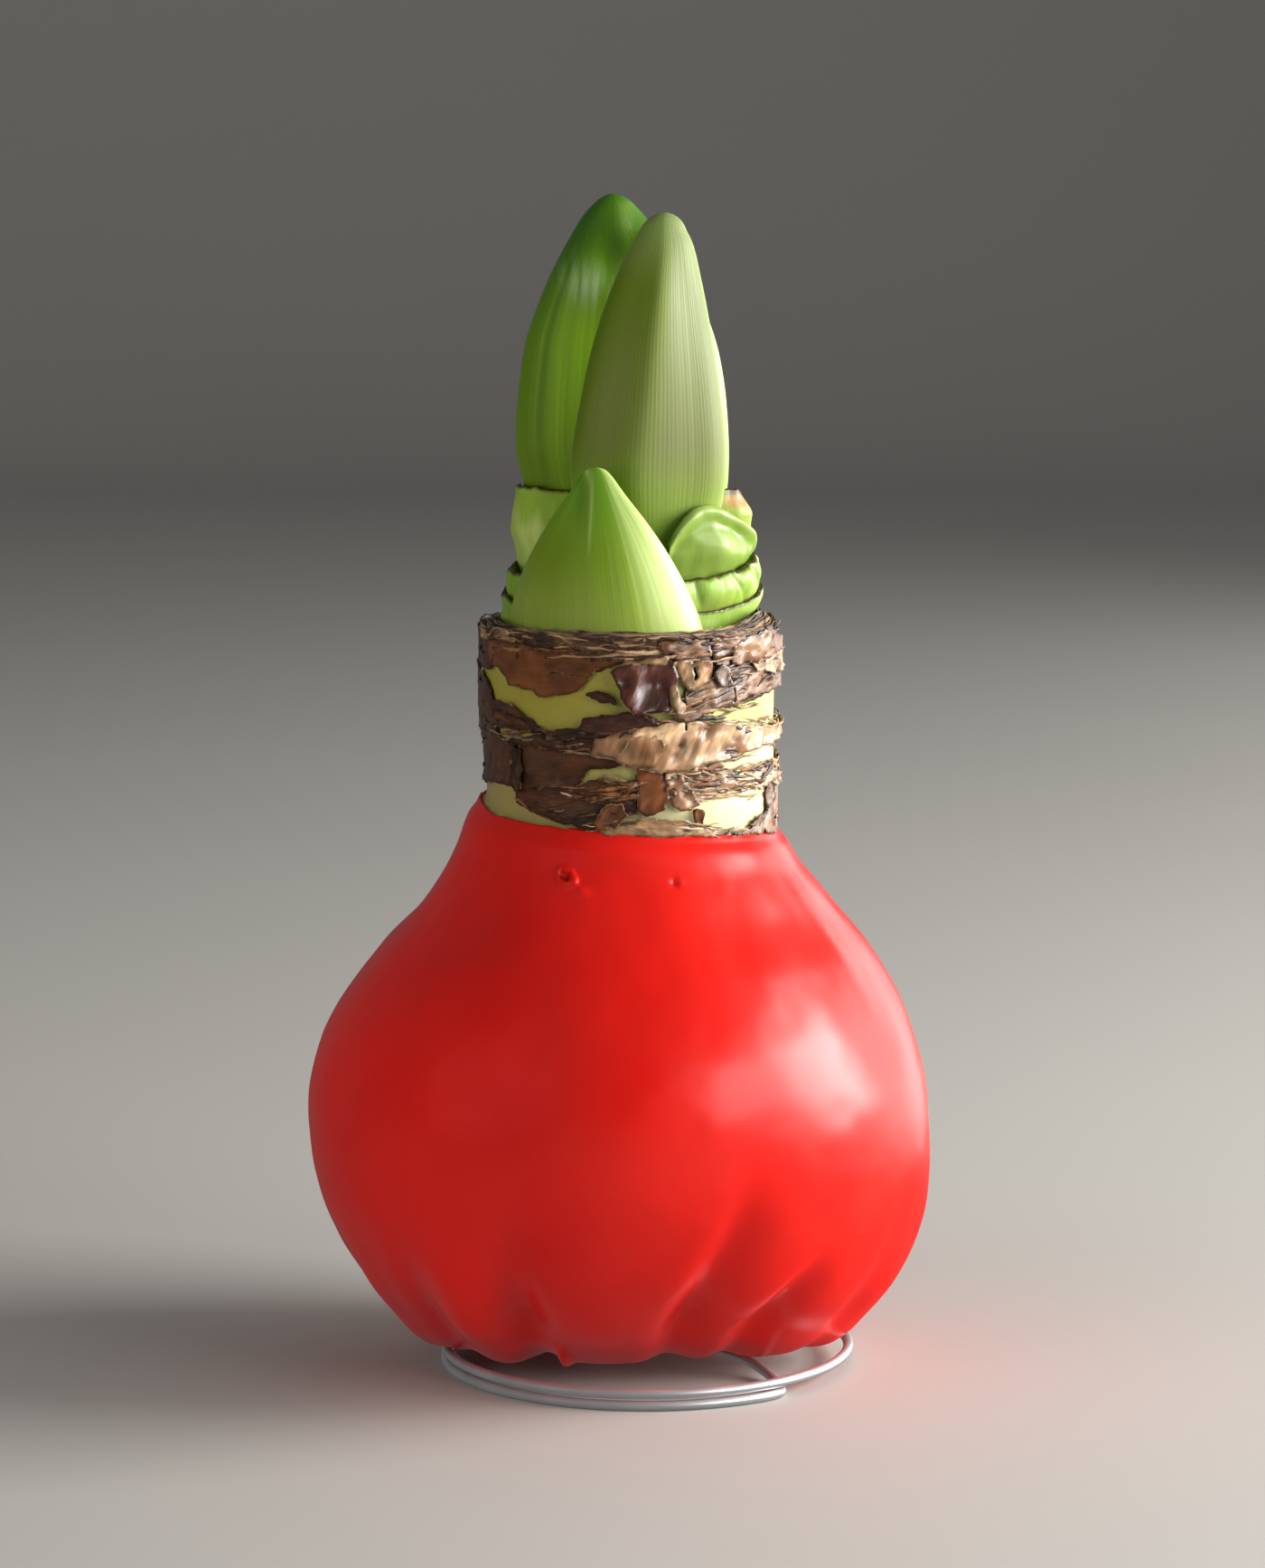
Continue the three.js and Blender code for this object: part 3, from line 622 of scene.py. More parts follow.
def skin_points(m, turn, share, depth):
    """Points at depth(turn, at) inside the skin line, along its normal: the cross product of the way round
    and the way up. Near the axis they close in on the spike's hole."""
    step = 1e-3
    at = skin_line(m, turn, share)
    ahead = skin_line(m, turn, np.minimum(share + step, 1)) - skin_line(m, turn, np.maximum(share - step, 0))
    s, c = np.sin(turn), np.cos(turn)
    upwards = np.stack([ahead[..., 0] * s, -ahead[..., 1] * c, ahead[..., 2]], -1)
    a, b, z = at[..., 0], at[..., 1], at[..., 2]
    sideways = np.stack([np.maximum(a, step) * c, np.maximum(b, step) * s, 0 * z], -1)
    outwards = np.cross(sideways, upwards)
    outwards /= np.linalg.norm(outwards, axis=-1, keepdims=True)
    axis = lerp(SPIKE_X, sway(m, z), smoothstep(a, 1, 8))
    point = np.stack([axis + np.maximum(a, HOLE) * s, -np.maximum(b, HOLE) * c, z + lean(m, turn, z)], -1)
    return point - outwards * depth(turn, at)[..., None]


def even_shares(m, end, count, humps=()):
    """Shares of the skin line that are evenly long steps along it, closer round some heights."""
    fine = np.linspace(0, 1, 3000) * end
    line = centripetal(skin_line_points(m), fine)
    steps = np.linalg.norm(np.diff(line[:, [0, 2]], axis=0), axis=-1)
    z = (line[1:, 2] + line[:-1, 2]) / 2
    outside = ((line[1:, 0] + line[:-1, 0]) / 2 > 26) | (z > 60)  # not under the foot
    density = 1 + gathered(z, humps) * outside
    sums = np.concatenate([[0], np.cumsum(steps * density)])
    start = np.interp(0.8 * HOLE, line[:, 0], fine)
    wanted = np.linspace(np.interp(start, fine, sums), sums[-1], count)
    return np.interp(wanted, sums, fine)


# ---------------- wax coat

# Folds and lobes round the foot: their turn at the foot and at their top, in degrees, their width on the
# left and on the right, their depth, and the height where they fade out. A lobe has a depth below nothing.
FRONT_FOLDS = [
    (-62, -58, 8, 8, 0.7, 30), (-49, -46, 7, 6, 1.7, 28), (-36, -34, 7.5, 7, -2.2, 32),
    (-24, -20, 6.5, 6, 3.6, 36), (-8, -2, 8, 8, -0.6, 34), (10.2, 25.5, 4.8, 8, 3.7, 40),
    (27, 43, 4.8, 7, 3.5, 29), (58, 63, 6, 8, 1.6, 32),
]
BACK_FOLDS = 9
BACK_SPAN = (86, 278)


def all_folds():
    folds = list(FRONT_FOLDS)
    for i in range(BACK_FOLDS):
        foot = lerp(*BACK_SPAN, i / (BACK_FOLDS - 1)) + 5 * math.sin(3.1 * i)
        width = 6.5 + 1.5 * math.sin(2.7 * i)
        folds.append((foot, foot + 9 * math.cos(2.3 * i), width, 12.5 - width, 1.6 + 1.1 * math.sin(1.9 * i),
                      29 + 6 * math.cos(1.3 * i)))
    return folds


def fold_depth(turn, at):
    """The sum of the folds: each is a hump across the turn, that narrows and fades as it rises."""
    depth = 0
    for foot, top, left, right, deep, fade in all_folds():
        up = smoothstep(at[..., 2], 4, fade)
        aside = apart(turn, lerp(foot, top, up))
        width = np.where(aside < 0, left, right) * (1 - 0.3 * up)
        depth = depth + deep * (1 - up) * hump(aside, width)
    return depth * smoothstep(at[..., 0], 10, 24) * lerp(0.35, 1, smoothstep(at[..., 2], 5.5, 12))


def wax_wall(z):
    """The wax is thick behind the folds and thin at the neck."""
    return 1.5 + 2.2 * (1 - smoothstep(z, 12, 36)) - 1.1 * smoothstep(z, 66, 76)


# Small things on the wax: their turn in degrees, their height, and how many millimetres a degree is there.
BLISTER = (-20.5, 72.6, 0.42)
POCK = (14.4, 72.3, 0.42)
PINHOLE = (66, 25.4, 0.74)
DRIP = (-17, 4.6, 0.5)


def beside(turn, z, mark):
    """Millimetres to the right of a small thing and above it."""
    degrees, height, scale = mark
    return apart(turn, degrees) * scale, z - height


def wax_depth(m, turn, at):
    """How deep the wax lies under the skin line, and how sound it is (0 in a scar): folds, long lumps, a
    torn blister, a pock, a pinhole and a drip, each a hump of the distance to its middle."""
    z = at[..., 2]
    degrees = np.degrees(turn) + 0 * z
    lumps = 0.35 * rough(degrees / 30, z / 17, 11, 2, 12) + 0.08 * rough(degrees / 9, z / 6, 21, 2, 40)
    depth = fold_depth(turn, at) + lumps * smoothstep(z, 10, 22) * (1 - 0.7 * smoothstep(z, 70, 77))
    u, v = beside(turn, z, BLISTER)
    ring = np.hypot(u - 0.1 * v, (v + 0.35 * u) * 1.3) + 0.25 * noise(u * 1.4, v * 1.4, 5)
    blister = -0.55 * hump(ring - 1.25, 0.42) + 0.5 * hump(ring, 0.75)
    blister = blister - 0.35 * hump(u - 2.4, 0.9) * hump(v + 1.0 + 0.3 * u, 0.5)
    pock_u, pock_v = beside(turn, z, POCK)
    pock = 0.35 * hump(np.hypot(pock_u, pock_v), 0.5)
    pock = pock - 0.12 * hump(np.hypot(pock_u - 0.9, pock_v - 0.3), 0.6)
    pin = np.hypot(*beside(turn, z, PINHOLE))
    ridge = 0.10 * hump(z - m.wax_top + 2.6 + 0.4 * np.sin(3 * turn), 0.45) * hump(apart(turn, -8), 16)
    front = at[..., 0] > 18
    drip_u, drip_v = beside(turn, z, DRIP)
    drip = 1.3 * hump(drip_u, 0.8) * hump(drip_v, 1.6) * (at[..., 0] > 25)
    depth = depth + (blister + pock) * front + 0.4 * hump(pin, 0.35) - ridge - drip
    torn = smoothstep(noise(u * 2.3, v * 2.3, 9), -0.35, 0.35)
    scar = np.maximum(0.9 * hump(ring, 0.85) * torn * front, 0.8 * hump(pin, 0.4))
    return depth, 1 - np.clip(scar, 0, 1)


WAX_AROUND, WAX_OUTSIDE, WAX_INSIDE = 312, 190, 24  # points round the wax, up its outside and up its inside


def wax_coat(m):
    """The outer wall from the spike's hole up to the neck, the lip, and the inner wall back down to it."""
    closer = [(BLISTER[0], 7, 2.5), (POCK[0], 4, 1.5), (20, 40, 0.5)]
    turn = np.radians(crowded(-180, 180, WAX_AROUND, closer))
    outer = even_shares(m, WAX_END, WAX_OUTSIDE, [(BLISTER[1], 3, 1.6), (12, 10, 0.6)])[:, None]
    inner = even_shares(m, WAX_END, WAX_INSIDE)[::-1, None]
    sound = []

    def outside(turn, at):
        depth, good = wax_depth(m, turn, at)
        sound.append(good)
        return depth

    front = skin_points(m, turn, outer, outside)
    back = skin_points(m, turn, inner, lambda turn, at: wax_wall(at[..., 2]))
    lip = lerp(front[-1], back[0], 0.5)
    lip[:, 2] += 0.22 + 0.12 * rough(np.degrees(turn) / 5, 0, 31, 3, 72)
    points = np.concatenate([front, lip[None], back])
    edge = np.concatenate([sound[0], np.ones((len(back) + 1, len(turn)))])
    return shell(rows_of(points, (0.5, 0.02, 0.01), points, edge))


# ---------------- wire stand

COIL_STATIONS = np.arange(535, -38, -7.5)  # degrees: a little over one and a half turns
COIL_DROP = (195, 262)  # between these the coil comes down from the upper turn to the lower one
WIRE_STATIONS, WIRE_SIDES = 640, 16
SOLID_SIDES = 8  # the solid wire has eight sides, and lies on one of them


def wire_stand(m):
    """A round tube along the coil's stations, which are a circle that steps down once, then given points that
    lead to the middle and up into the bulb."""
    low = m.wire / 2 * math.cos(math.pi / SOLID_SIDES)
    high = low + m.wire + 0.2
    a = np.radians(COIL_STATIONS)
    coil = np.stack([COIL_X - m.coil_radius * np.sin(a), COIL_Y - m.coil_radius * np.cos(a),
                     lerp(low, high, smoothstep(COIL_STATIONS, *COIL_DROP))], -1)
    inwards = [(22.1, -19.2, low), (22.2, -17.4, low), (21.8, -14.6, low + 0.1), (20.6, -10.6, 1.1),
               (17.8, -6.1, 1.8), (13.2, -2.6, 2.5), (8, -0.6, 2.9), (4.7, 0, 3), (3.4, 0, 3.2),
               (2.75, 0, 3.8), (SPIKE_X, 0, 4.8), (SPIKE_X, 0, 12), (SPIKE_X, 0, SPIKE_TOP)]
    stations = np.vstack([coil, inwards])
    centres = centripetal(stations, np.linspace(0, 1, WIRE_STATIONS))
    ahead = np.gradient(centres, axis=0)
    ahead /= np.linalg.norm(ahead, axis=-1, keepdims=True)
    flat = np.hypot(ahead[:, 0], ahead[:, 1]) > 0.2
    last = np.maximum.accumulate(np.where(flat, np.arange(len(flat)), 0))
    side = np.stack([ahead[last, 1], -ahead[last, 0], 0 * last], -1)
    side /= np.linalg.norm(side, axis=-1, keepdims=True)
    half = np.full(len(centres), m.wire / 2)
    half[[0, -1]] *= 0.6
    half[[1, -2]] *= 0.93
    rise = m.wire / 2 - low  # a round wire's middle lies a little higher than that of the solid one
    centres = np.column_stack([centres[:, :2], centres[:, 2] + rise])
    tint = np.zeros_like(centres) + 0.6
    return tubes(centres[None], side[None], half[None], half[None], WIRE_SIDES, tint[None], centres[None])


# ---------------- bulb and its cut neck

def outer_base_oval(z):
    """Middle and half sizes of the outer leaf base at a height."""
    rows = [(WELL_FLOOR, 1.8, 0.9, 16.8, 11.6), (105.2, 1.8, 0.9, 16.8, 11.6), (108.2, 1.8, 1.1, 17.9, 12.4),
            (115, 2, 1.2, 17.8, 12.5)]
    return np.moveaxis(smoothly(rows, z), -1, 0)


FRONT_HALF, FRONT_DEEP, FRONT_ARC = 13.1, 4.5, 17.2


def outside_wells(x, y):
    """How far a point lies outside the two wells: each oval's equation over the length of its slope."""
    px, py, half_x, half_y = outer_base_oval(WELL_FLOOR)

    def outside(u, v, a, b):
        value = (u / a) ** 2 + (v / b) ** 2 - 1
        slope = 2 * np.hypot(u / a ** 2, v / b ** 2) + 1e-9
        return value / slope

    inner = outside(x - px, y - py, half_x + GAP, half_y + GAP)
    arc = FRONT_ARC - np.sqrt(np.maximum(FRONT_ARC ** 2 - (x - NECK_X) ** 2, 0.1))
    bent = y + FRONT_ARC - arc - FRONT_DEEP / 2
    front = outside(x + 1.5, bent, FRONT_HALF + GAP, FRONT_DEEP / 2 + GAP)
    return np.minimum(inner, front)


def bare_radius(m, turn, z):
    """The bare scale of the neck: nearly round, with slow swells."""
    degrees = np.degrees(turn)
    swell = 0.22 * noise(degrees / 40, z / 9, 41, 9) - 0.8 * hump(z - 85.5, 6) * hump(apart(turn, -82), 45)
    return m.neck_radius - BULB_NECK + swell


BULB_STEP = 1.2  # degrees between the bulb's points
NECK_ROWS, TOP_ROWS = 56, 44


def bulb(m):
    """From the top of the spike's hole down to the foot, up behind the wax, up the bare neck and over its
    cut top. The cut top is a height over the plane: it rises inwards in ridges, one for each scale, and
    drops into the wells."""
    turn = np.radians(np.arange(round(360 / BULB_STEP)) * BULB_STEP)
    s, c = np.sin(turn), np.cos(turn)

    def at_height(radius, z):
        return np.stack([SPIKE_X + radius * s, -radius * c, z + 0 * turn], -1)

    hole = [at_height(HOLE, z) for z in (SPIKE_TOP + GAP, 15, 10)]
    shares = even_shares(m, WAX_END, 24, [(75, 5, 2)])[:, None]
    body = skin_points(m, turn, shares, lambda turn, at: wax_wall(at[..., 2]) + 0.1)
    lip = m.wax_top + lean(m, turn, m.wax_top)
    z = lerp(lip + 0.35, m.neck_top - 0.4, np.linspace(0, 1, NECK_ROWS)[:, None])
    radius = bare_radius(m, turn, z) - 0.25 * (1 - smoothstep(z - lip, 0.5, 4))
    crease = 0.10 * hump(noise(np.degrees(turn) / 22, z / 2.6, 43, 16), 0.10)
    radius = radius - crease - 0.6 * smoothstep(z, m.neck_top - 1.2, m.neck_top)
    neck = np.stack([NECK_X + radius * s, -radius * c, z + 0 * turn], -1)
    inwards = np.linspace(0.03, 0.995, TOP_ROWS)[:, None]
    flat = (m.neck_radius - 1.1) * (1 - inwards)
    x, y = NECK_X + flat * s, -flat * c
    wobble = 0.5 * rough(np.degrees(turn) / 24, inwards * 4, 47, 3, 15)
    ridges = 0.45 * (1 - np.abs(np.sin(np.pi * (flat / 1.15 + wobble)))) + 0.12 * rough(x, y, 53, 3)
    height = m.neck_top + 2.3 * inwards + ridges - 0.6
    sunk = smoothstep(-outside_wells(x, y), -0.15, 0.35)
    top = np.stack([x, y, lerp(height, WELL_FLOOR, sunk)], -1)
    points = np.concatenate([hole, body, neck, top])
    x, y, z = np.moveaxis(points, -1, 0)
    green = smoothstep(z + 3 * rough(np.degrees(turn) / 30, z / 12, 59, 2, 12), 82, 96)
    # Painted light and shade: the flesh is tinted darker on the left, where it lies in shade, and paler on the
    # right, where the light falls.
    right = smoothstep(s, -0.45, 0.6)[:, None]
    low_flesh = lerp(srgb("998a50"), srgb("d8d4a4"), right)
    high_flesh = lerp(srgb("9a9238"), srgb("b4b562"), right)
    flesh = tinted(low_flesh, high_flesh, green)
    on_top = np.zeros(z.shape)
    on_top[-len(top):] = 1
    dry = tinted(TAN, ASH, smoothstep(noise(x, y, 61), -0.5, 0.5))
    within = m.neck_radius - np.hypot(x - NECK_X, y)
    pale = tinted(dry, "b9bb6a", smoothstep(within, 3.5, 6))
    tint = tinted(flesh, pale, on_top)
    return spindle(rows_of(points, tint, round_grain(turn, z, m.neck_radius, m.neck_radius)))


# ---------------- torn dry skins

def outline_distance(u, v, outline):
    """Signed distance to a closed outline of straight sides, positive inside: the least distance to a side,
    and the number of sides that a ray to the right crosses."""
    a = np.asarray(outline, float)
    b = np.roll(a, -1, 0)
    side = b - a
    pu, pv = u[..., None], v[..., None]
    t = np.clip(((pu - a[:, 0]) * side[:, 0] + (pv - a[:, 1]) * side[:, 1]) / (side ** 2).sum(-1), 0, 1)
    distance = np.hypot(pu - a[:, 0] - t * side[:, 0], pv - a[:, 1] - t * side[:, 1]).min(-1)
    rise = np.where(side[:, 1] == 0, 1e-9, side[:, 1])
    crosses = ((a[:, 1] > pv) != (b[:, 1] > pv)) & (pu < a[:, 0] + (pv - a[:, 1]) / rise * side[:, 0])
    return np.where(crosses.sum(-1) % 2 == 1, distance, -distance)


def line_distance(u, v, line):
    """Distance to an open line of straight sides."""
    a = np.asarray(line, float)
    side = a[1:] - a[:-1]
    pu, pv = u[..., None], v[..., None]
    t = np.clip(((pu - a[:-1, 0]) * side[:, 0] + (pv - a[:-1, 1]) * side[:, 1]) / (side ** 2).sum(-1), 0, 1)
    return np.hypot(pu - a[:-1, 0] - t * side[:, 0], pv - a[:-1, 1] - t * side[:, 1]).min(-1)


CELL = 0.3  # side of a torn sheet's squares
SHEET_RADIUS = 20.6  # the radius where they are square
NECK_DEGREE = 0.36  # millimetres of a degree there
WAVE = 1.2  # length of the waves of a torn edge
SIDE_MARGIN, MARGIN = 5, 2  # degrees and height by which a sheet's plane reaches past its outline
RIBBON_STATIONS, RIBBON_SIDES = 17, 6


def rolled(a, di, dj):
    return np.roll(a, (di, dj), (0, 1))


def torn_cells(f):
    """The squares of a sheet: those inside the torn edge, without specks narrower than two squares and
    without squares that meet at a corner only."""
    keep = (f + rolled(f, -1, 0) + rolled(f, 0, -1) + rolled(f, -1, -1)) > 0
    keep[[0, -1, -2]] = False
    core = keep & rolled(keep, -1, 0) & rolled(keep, 0, -1) & rolled(keep, -1, -1)
    keep = core | rolled(core, 1, 0) | rolled(core, 0, 1) | rolled(core, 1, 1)
    for _ in range(3):
        b, c, d = rolled(keep, 0, -1), rolled(keep, -1, 0), rolled(keep, -1, -1)
        first, second = keep & d & ~b & ~c, b & c & ~keep & ~d
        keep = keep | second | rolled(first, 0, 1)
    keep[[0, -1, -2]] = False
    return keep


def torn_sheet(f, degrees, z, surface, thick):
    """A thin closed sheet over the squares where f, the distance inside its torn edge, is positive. Points
    on its rim move down the slope of f on to the edge. surface(turn, z, edge) gives the outer radius, the
    tint, the grain and how fibrous it is."""
    keep = torn_cells(f)
    around = keep | rolled(keep, 1, 0) | rolled(keep, 0, 1) | rolled(keep, 1, 1)
    inside = keep & rolled(keep, 1, 0) & rolled(keep, 0, 1) & rolled(keep, 1, 1)
    rim = around & ~inside
    step_u = math.radians(degrees[0, 1] - degrees[0, 0]) * SHEET_RADIUS
    step_v = z[1, 0] - z[0, 0]
    slope_u = (rolled(f, 0, -1) - rolled(f, 0, 1)) / (2 * step_u)
    slope_v = (rolled(f, -1, 0) - rolled(f, 1, 0)) / (2 * step_v)
    move = np.where(rim, -f, 0) / (slope_u ** 2 + slope_v ** 2 + 0.05)
    shift = np.stack([move * slope_u, move * slope_v])
    shift *= np.minimum(1, 0.45 * step_v / np.maximum(np.hypot(*shift), 1e-9))
    turn = np.radians(degrees) + shift[0] / SHEET_RADIUS
    height = z + shift[1]
    edge = np.where(rim, 0, np.maximum(f, 0))
    radius, tint, grain, fibrous = surface(turn, height, edge)
    number = np.cumsum(around).reshape(around.shape) - 1
    total = int(around.sum())
    sides = []
    for inset in (0, thick):
        r = radius - inset
        points = np.stack([NECK_X + r * np.sin(turn), -r * np.cos(turn), height], -1)
        sides.append(rows_of(points, tint, grain, edge, fibrous)[around])
    a, b = number, rolled(number, 0, -1)
    d, c = rolled(number, -1, 0), rolled(number, -1, -1)
    front = np.stack([a, b, c, d], -1)[keep]
    quads = [front, front[:, ::-1] + total]
    for start, end, di, dj in ((a, b, 1, 0), (b, c, 0, -1), (c, d, -1, 0), (d, a, 0, 1)):
        open_side = keep & ~rolled(keep, di, dj)
        p, q = start[open_side], end[open_side]
        quads.append(np.stack([q, p, p + total, q + total], -1))
    return np.vstack(sides), np.vstack(quads), NO_TRIANGLES


def torn_plane(mm_per_degree, seed, ragged, shape, cracks):
    """The plane that a sheet is torn from: how far each place lies inside the torn edge, its degrees and its
    height. shape is an outline [(degrees, height), ...], or a pair of edges right round, lower and upper,
    and cracks are lines with a width. Noise warps the plane, so that the edge comes out ragged."""
    ring = len(shape) == 2
    if ring:
        count = round(360 * mm_per_degree / CELL)
        spread = np.arange(count) * 360 / count - 180
        low = min(z for _, z in shape[0]) - MARGIN
        high = max(z for _, z in shape[1]) + MARGIN
        waves = round(360 * mm_per_degree / WAVE)
        wave = 360 * mm_per_degree / waves
    else:
        outline = np.asarray(shape, float)
        first, low = outline.min(0) - (SIDE_MARGIN, MARGIN)
        last, high = outline.max(0) + (SIDE_MARGIN, MARGIN)
        spread = np.arange(first, last, CELL / mm_per_degree)
        waves, wave = 0, WAVE
    degrees, z = np.meshgrid(spread, np.arange(low, high, CELL))
    u = degrees * mm_per_degree
    warp_u = u + ragged * rough(u / wave, z / 1.3, seed, 3, waves)
    warp_v = z + ragged * rough(u / wave, z / 1.1, seed + 5, 3, waves)
    if ring:
        turn = np.radians(warp_u / mm_per_degree)
        f = np.minimum(warp_v - round_edge(shape[0], turn), round_edge(shape[1], turn) - warp_v)
    else:
        f = outline_distance(warp_u, warp_v, outline * (mm_per_degree, 1))
    for width, *line in cracks:
        crack = line_distance(warp_u, warp_v, np.asarray(line) * (mm_per_degree, 1))
        f = np.minimum(f, crack - width / 2)
    return f, degrees, z


def skin_sheet(m, seed, over, thick, tints, curl, grain, ragged, fibrous, shape, cracks=(), glow=None,
               lift=None):
    """One torn sheet on the neck. over is its height over the bare scale, tints are the two that it is
    mottled with, curl is how far its edge stands off, grain the angle, length, width and height of its
    wrinkles, glow is a colour that shows through near its edge, and lift(turn, z) raises it."""
    mm_per_degree = math.radians(1) * m.neck_radius
    angle, long, wide, high = grain
    along, across = math.cos(math.radians(angle)), math.sin(math.radians(angle))

    def surface(turn, z, edge):
        u = np.degrees(turn) * mm_per_degree
        s, t = u * along + z * across, z * along - u * across
        bend = 0.6 * noise(u / 4, z / 4, seed + 31)
        wrinkle = rough(s / long, (t + bend) / wide, seed + 9, 3)
        wrinkle = wrinkle + 0.8 * (1 - 2 * np.abs(noise(s / long * 1.3, (t + bend) / wide * 0.7, seed + 13)))
        crumple = 1 - 2.4 * np.abs(noise(u / 2.2 + 0.5 * bend, z / 1.7, seed + 27))
        close = np.exp(-edge / 0.6)
        loose = np.clip(0.3 + 1.2 * noise(u / 3, z / 3, seed + 17), 0, 1.4)
        radius = bare_radius(m, turn, z) + over + thick + high * wrinkle + curl * loose * close
        radius = radius + (0.02 + 0.25 * high) * crumple
        if lift is not None:
            radius = radius + lift(turn, z)
        patchy = smoothstep(rough(s / (1.6 * long), t / (2.2 * wide), seed + 21, 3), -0.5, 0.7)
        tint = tinted(tints[0], tints[1], patchy)
        # Painted shade in the valleys of the wrinkles and crumples, and painted highlight on their crests.
        relief = min(4 * high, 0.45) * np.clip(0.7 * wrinkle + 0.7 * crumple, -1, 1)
        tint = tint * (1 + relief)[..., None]
        if glow is not None:
            tint = tinted(tint, glow, 0.8 * np.exp(-edge / 1.1) * (0.5 + 0.5 * patchy))
        return radius, tint, np.stack([s, t + bend, np.full(s.shape, seed * 7.0)], -1), fibrous

    plane = torn_plane(mm_per_degree, seed, ragged, shape, cracks)
    return torn_sheet(*plane, surface, thick)


def ribbons(m, seed, count, over, long, high, tints, low_line, high_line):
    """Shreds of skin between a lower and an upper line [(degrees, height), ...]: flat strips with pointed
    ends at random places. Each leans a little, waves up and down and in and out, and lifts off at its ends.
    over is their height over the bare scale, long their length in degrees, and high their width, each from
    least to most."""
    random = np.random.default_rng(seed)

    def draw(low, high):
        return random.uniform(low, high, (count, 1))

    lines = [np.asarray(line, float).T for line in (low_line, high_line)]
    along = np.linspace(-1, 1, RIBBON_STATIONS)
    degrees = draw(lines[0][0, 0], lines[0][0, -1]) + along * draw(*long) / 2
    turn = np.radians(degrees)
    z = lerp(np.interp(degrees, *lines[0]), np.interp(degrees, *lines[1]), draw(0, 1))
    z = z + draw(-0.45, 0.45) * along + 0.3 * rough(degrees / 7, draw(0, 99), seed, 3)
    radius = bare_radius(m, turn, z) + draw(over - 0.2, over + 0.15) + draw(-0.3, 0.25) * np.abs(along) ** 3
    radius = radius + 0.12 * rough(degrees / 5, draw(0, 99), seed + 1, 3)
    outwards = np.stack([np.sin(turn), -np.cos(turn), 0 * turn], -1)
    centres = radius[..., None] * outwards + np.stack([NECK_X + 0 * z, 0 * z, z], -1)
    tilt = draw(-0.3, 0.5)[..., None]
    side = np.cos(tilt) * (0, 0, 1) + np.sin(tilt) * outwards
    swell = (1 - along ** 2) ** 0.7 * (1 + 0.4 * noise(degrees / 3, draw(0, 99), seed + 2)) + 0.03
    tint = np.array(tints)[random.integers(0, len(tints), count)][:, None] * draw(0.7, 1.2)[..., None]
    grain = np.stack([degrees * NECK_DEGREE, z, seed + 0 * z], -1)
    return tubes(centres, side, draw(*high) / 2 * swell, 0.07 * swell ** 0.5, RIBBON_SIDES,
                 tint + 0 * centres, grain)


# A sheet's row: its seed, its height over the bare scale, how thick it is, its tints, how far its edge
# stands off, the angle, length, width and height of its wrinkles, how ragged and how fibrous it is, its
# outline or its two edges, its cracks, and the colour that shows through near its edge.
#
# A row of shreds: their seed, their number, their height over the bare scale, their least and greatest
# length and width, their tints, and the lower and upper line between which they lie.
DARK = (UMBER, PLUM, COCOA)
RIM_MIX = (TAN, SATIN, UMBER, RUST, ASH, PLUM)
WARM_MIX = (TAN, SATIN, UMBER, RUST, STRAW)
BROWN_MIX = (TAN, SATIN, STRAW, UMBER, ASH, PLUM, RUST)

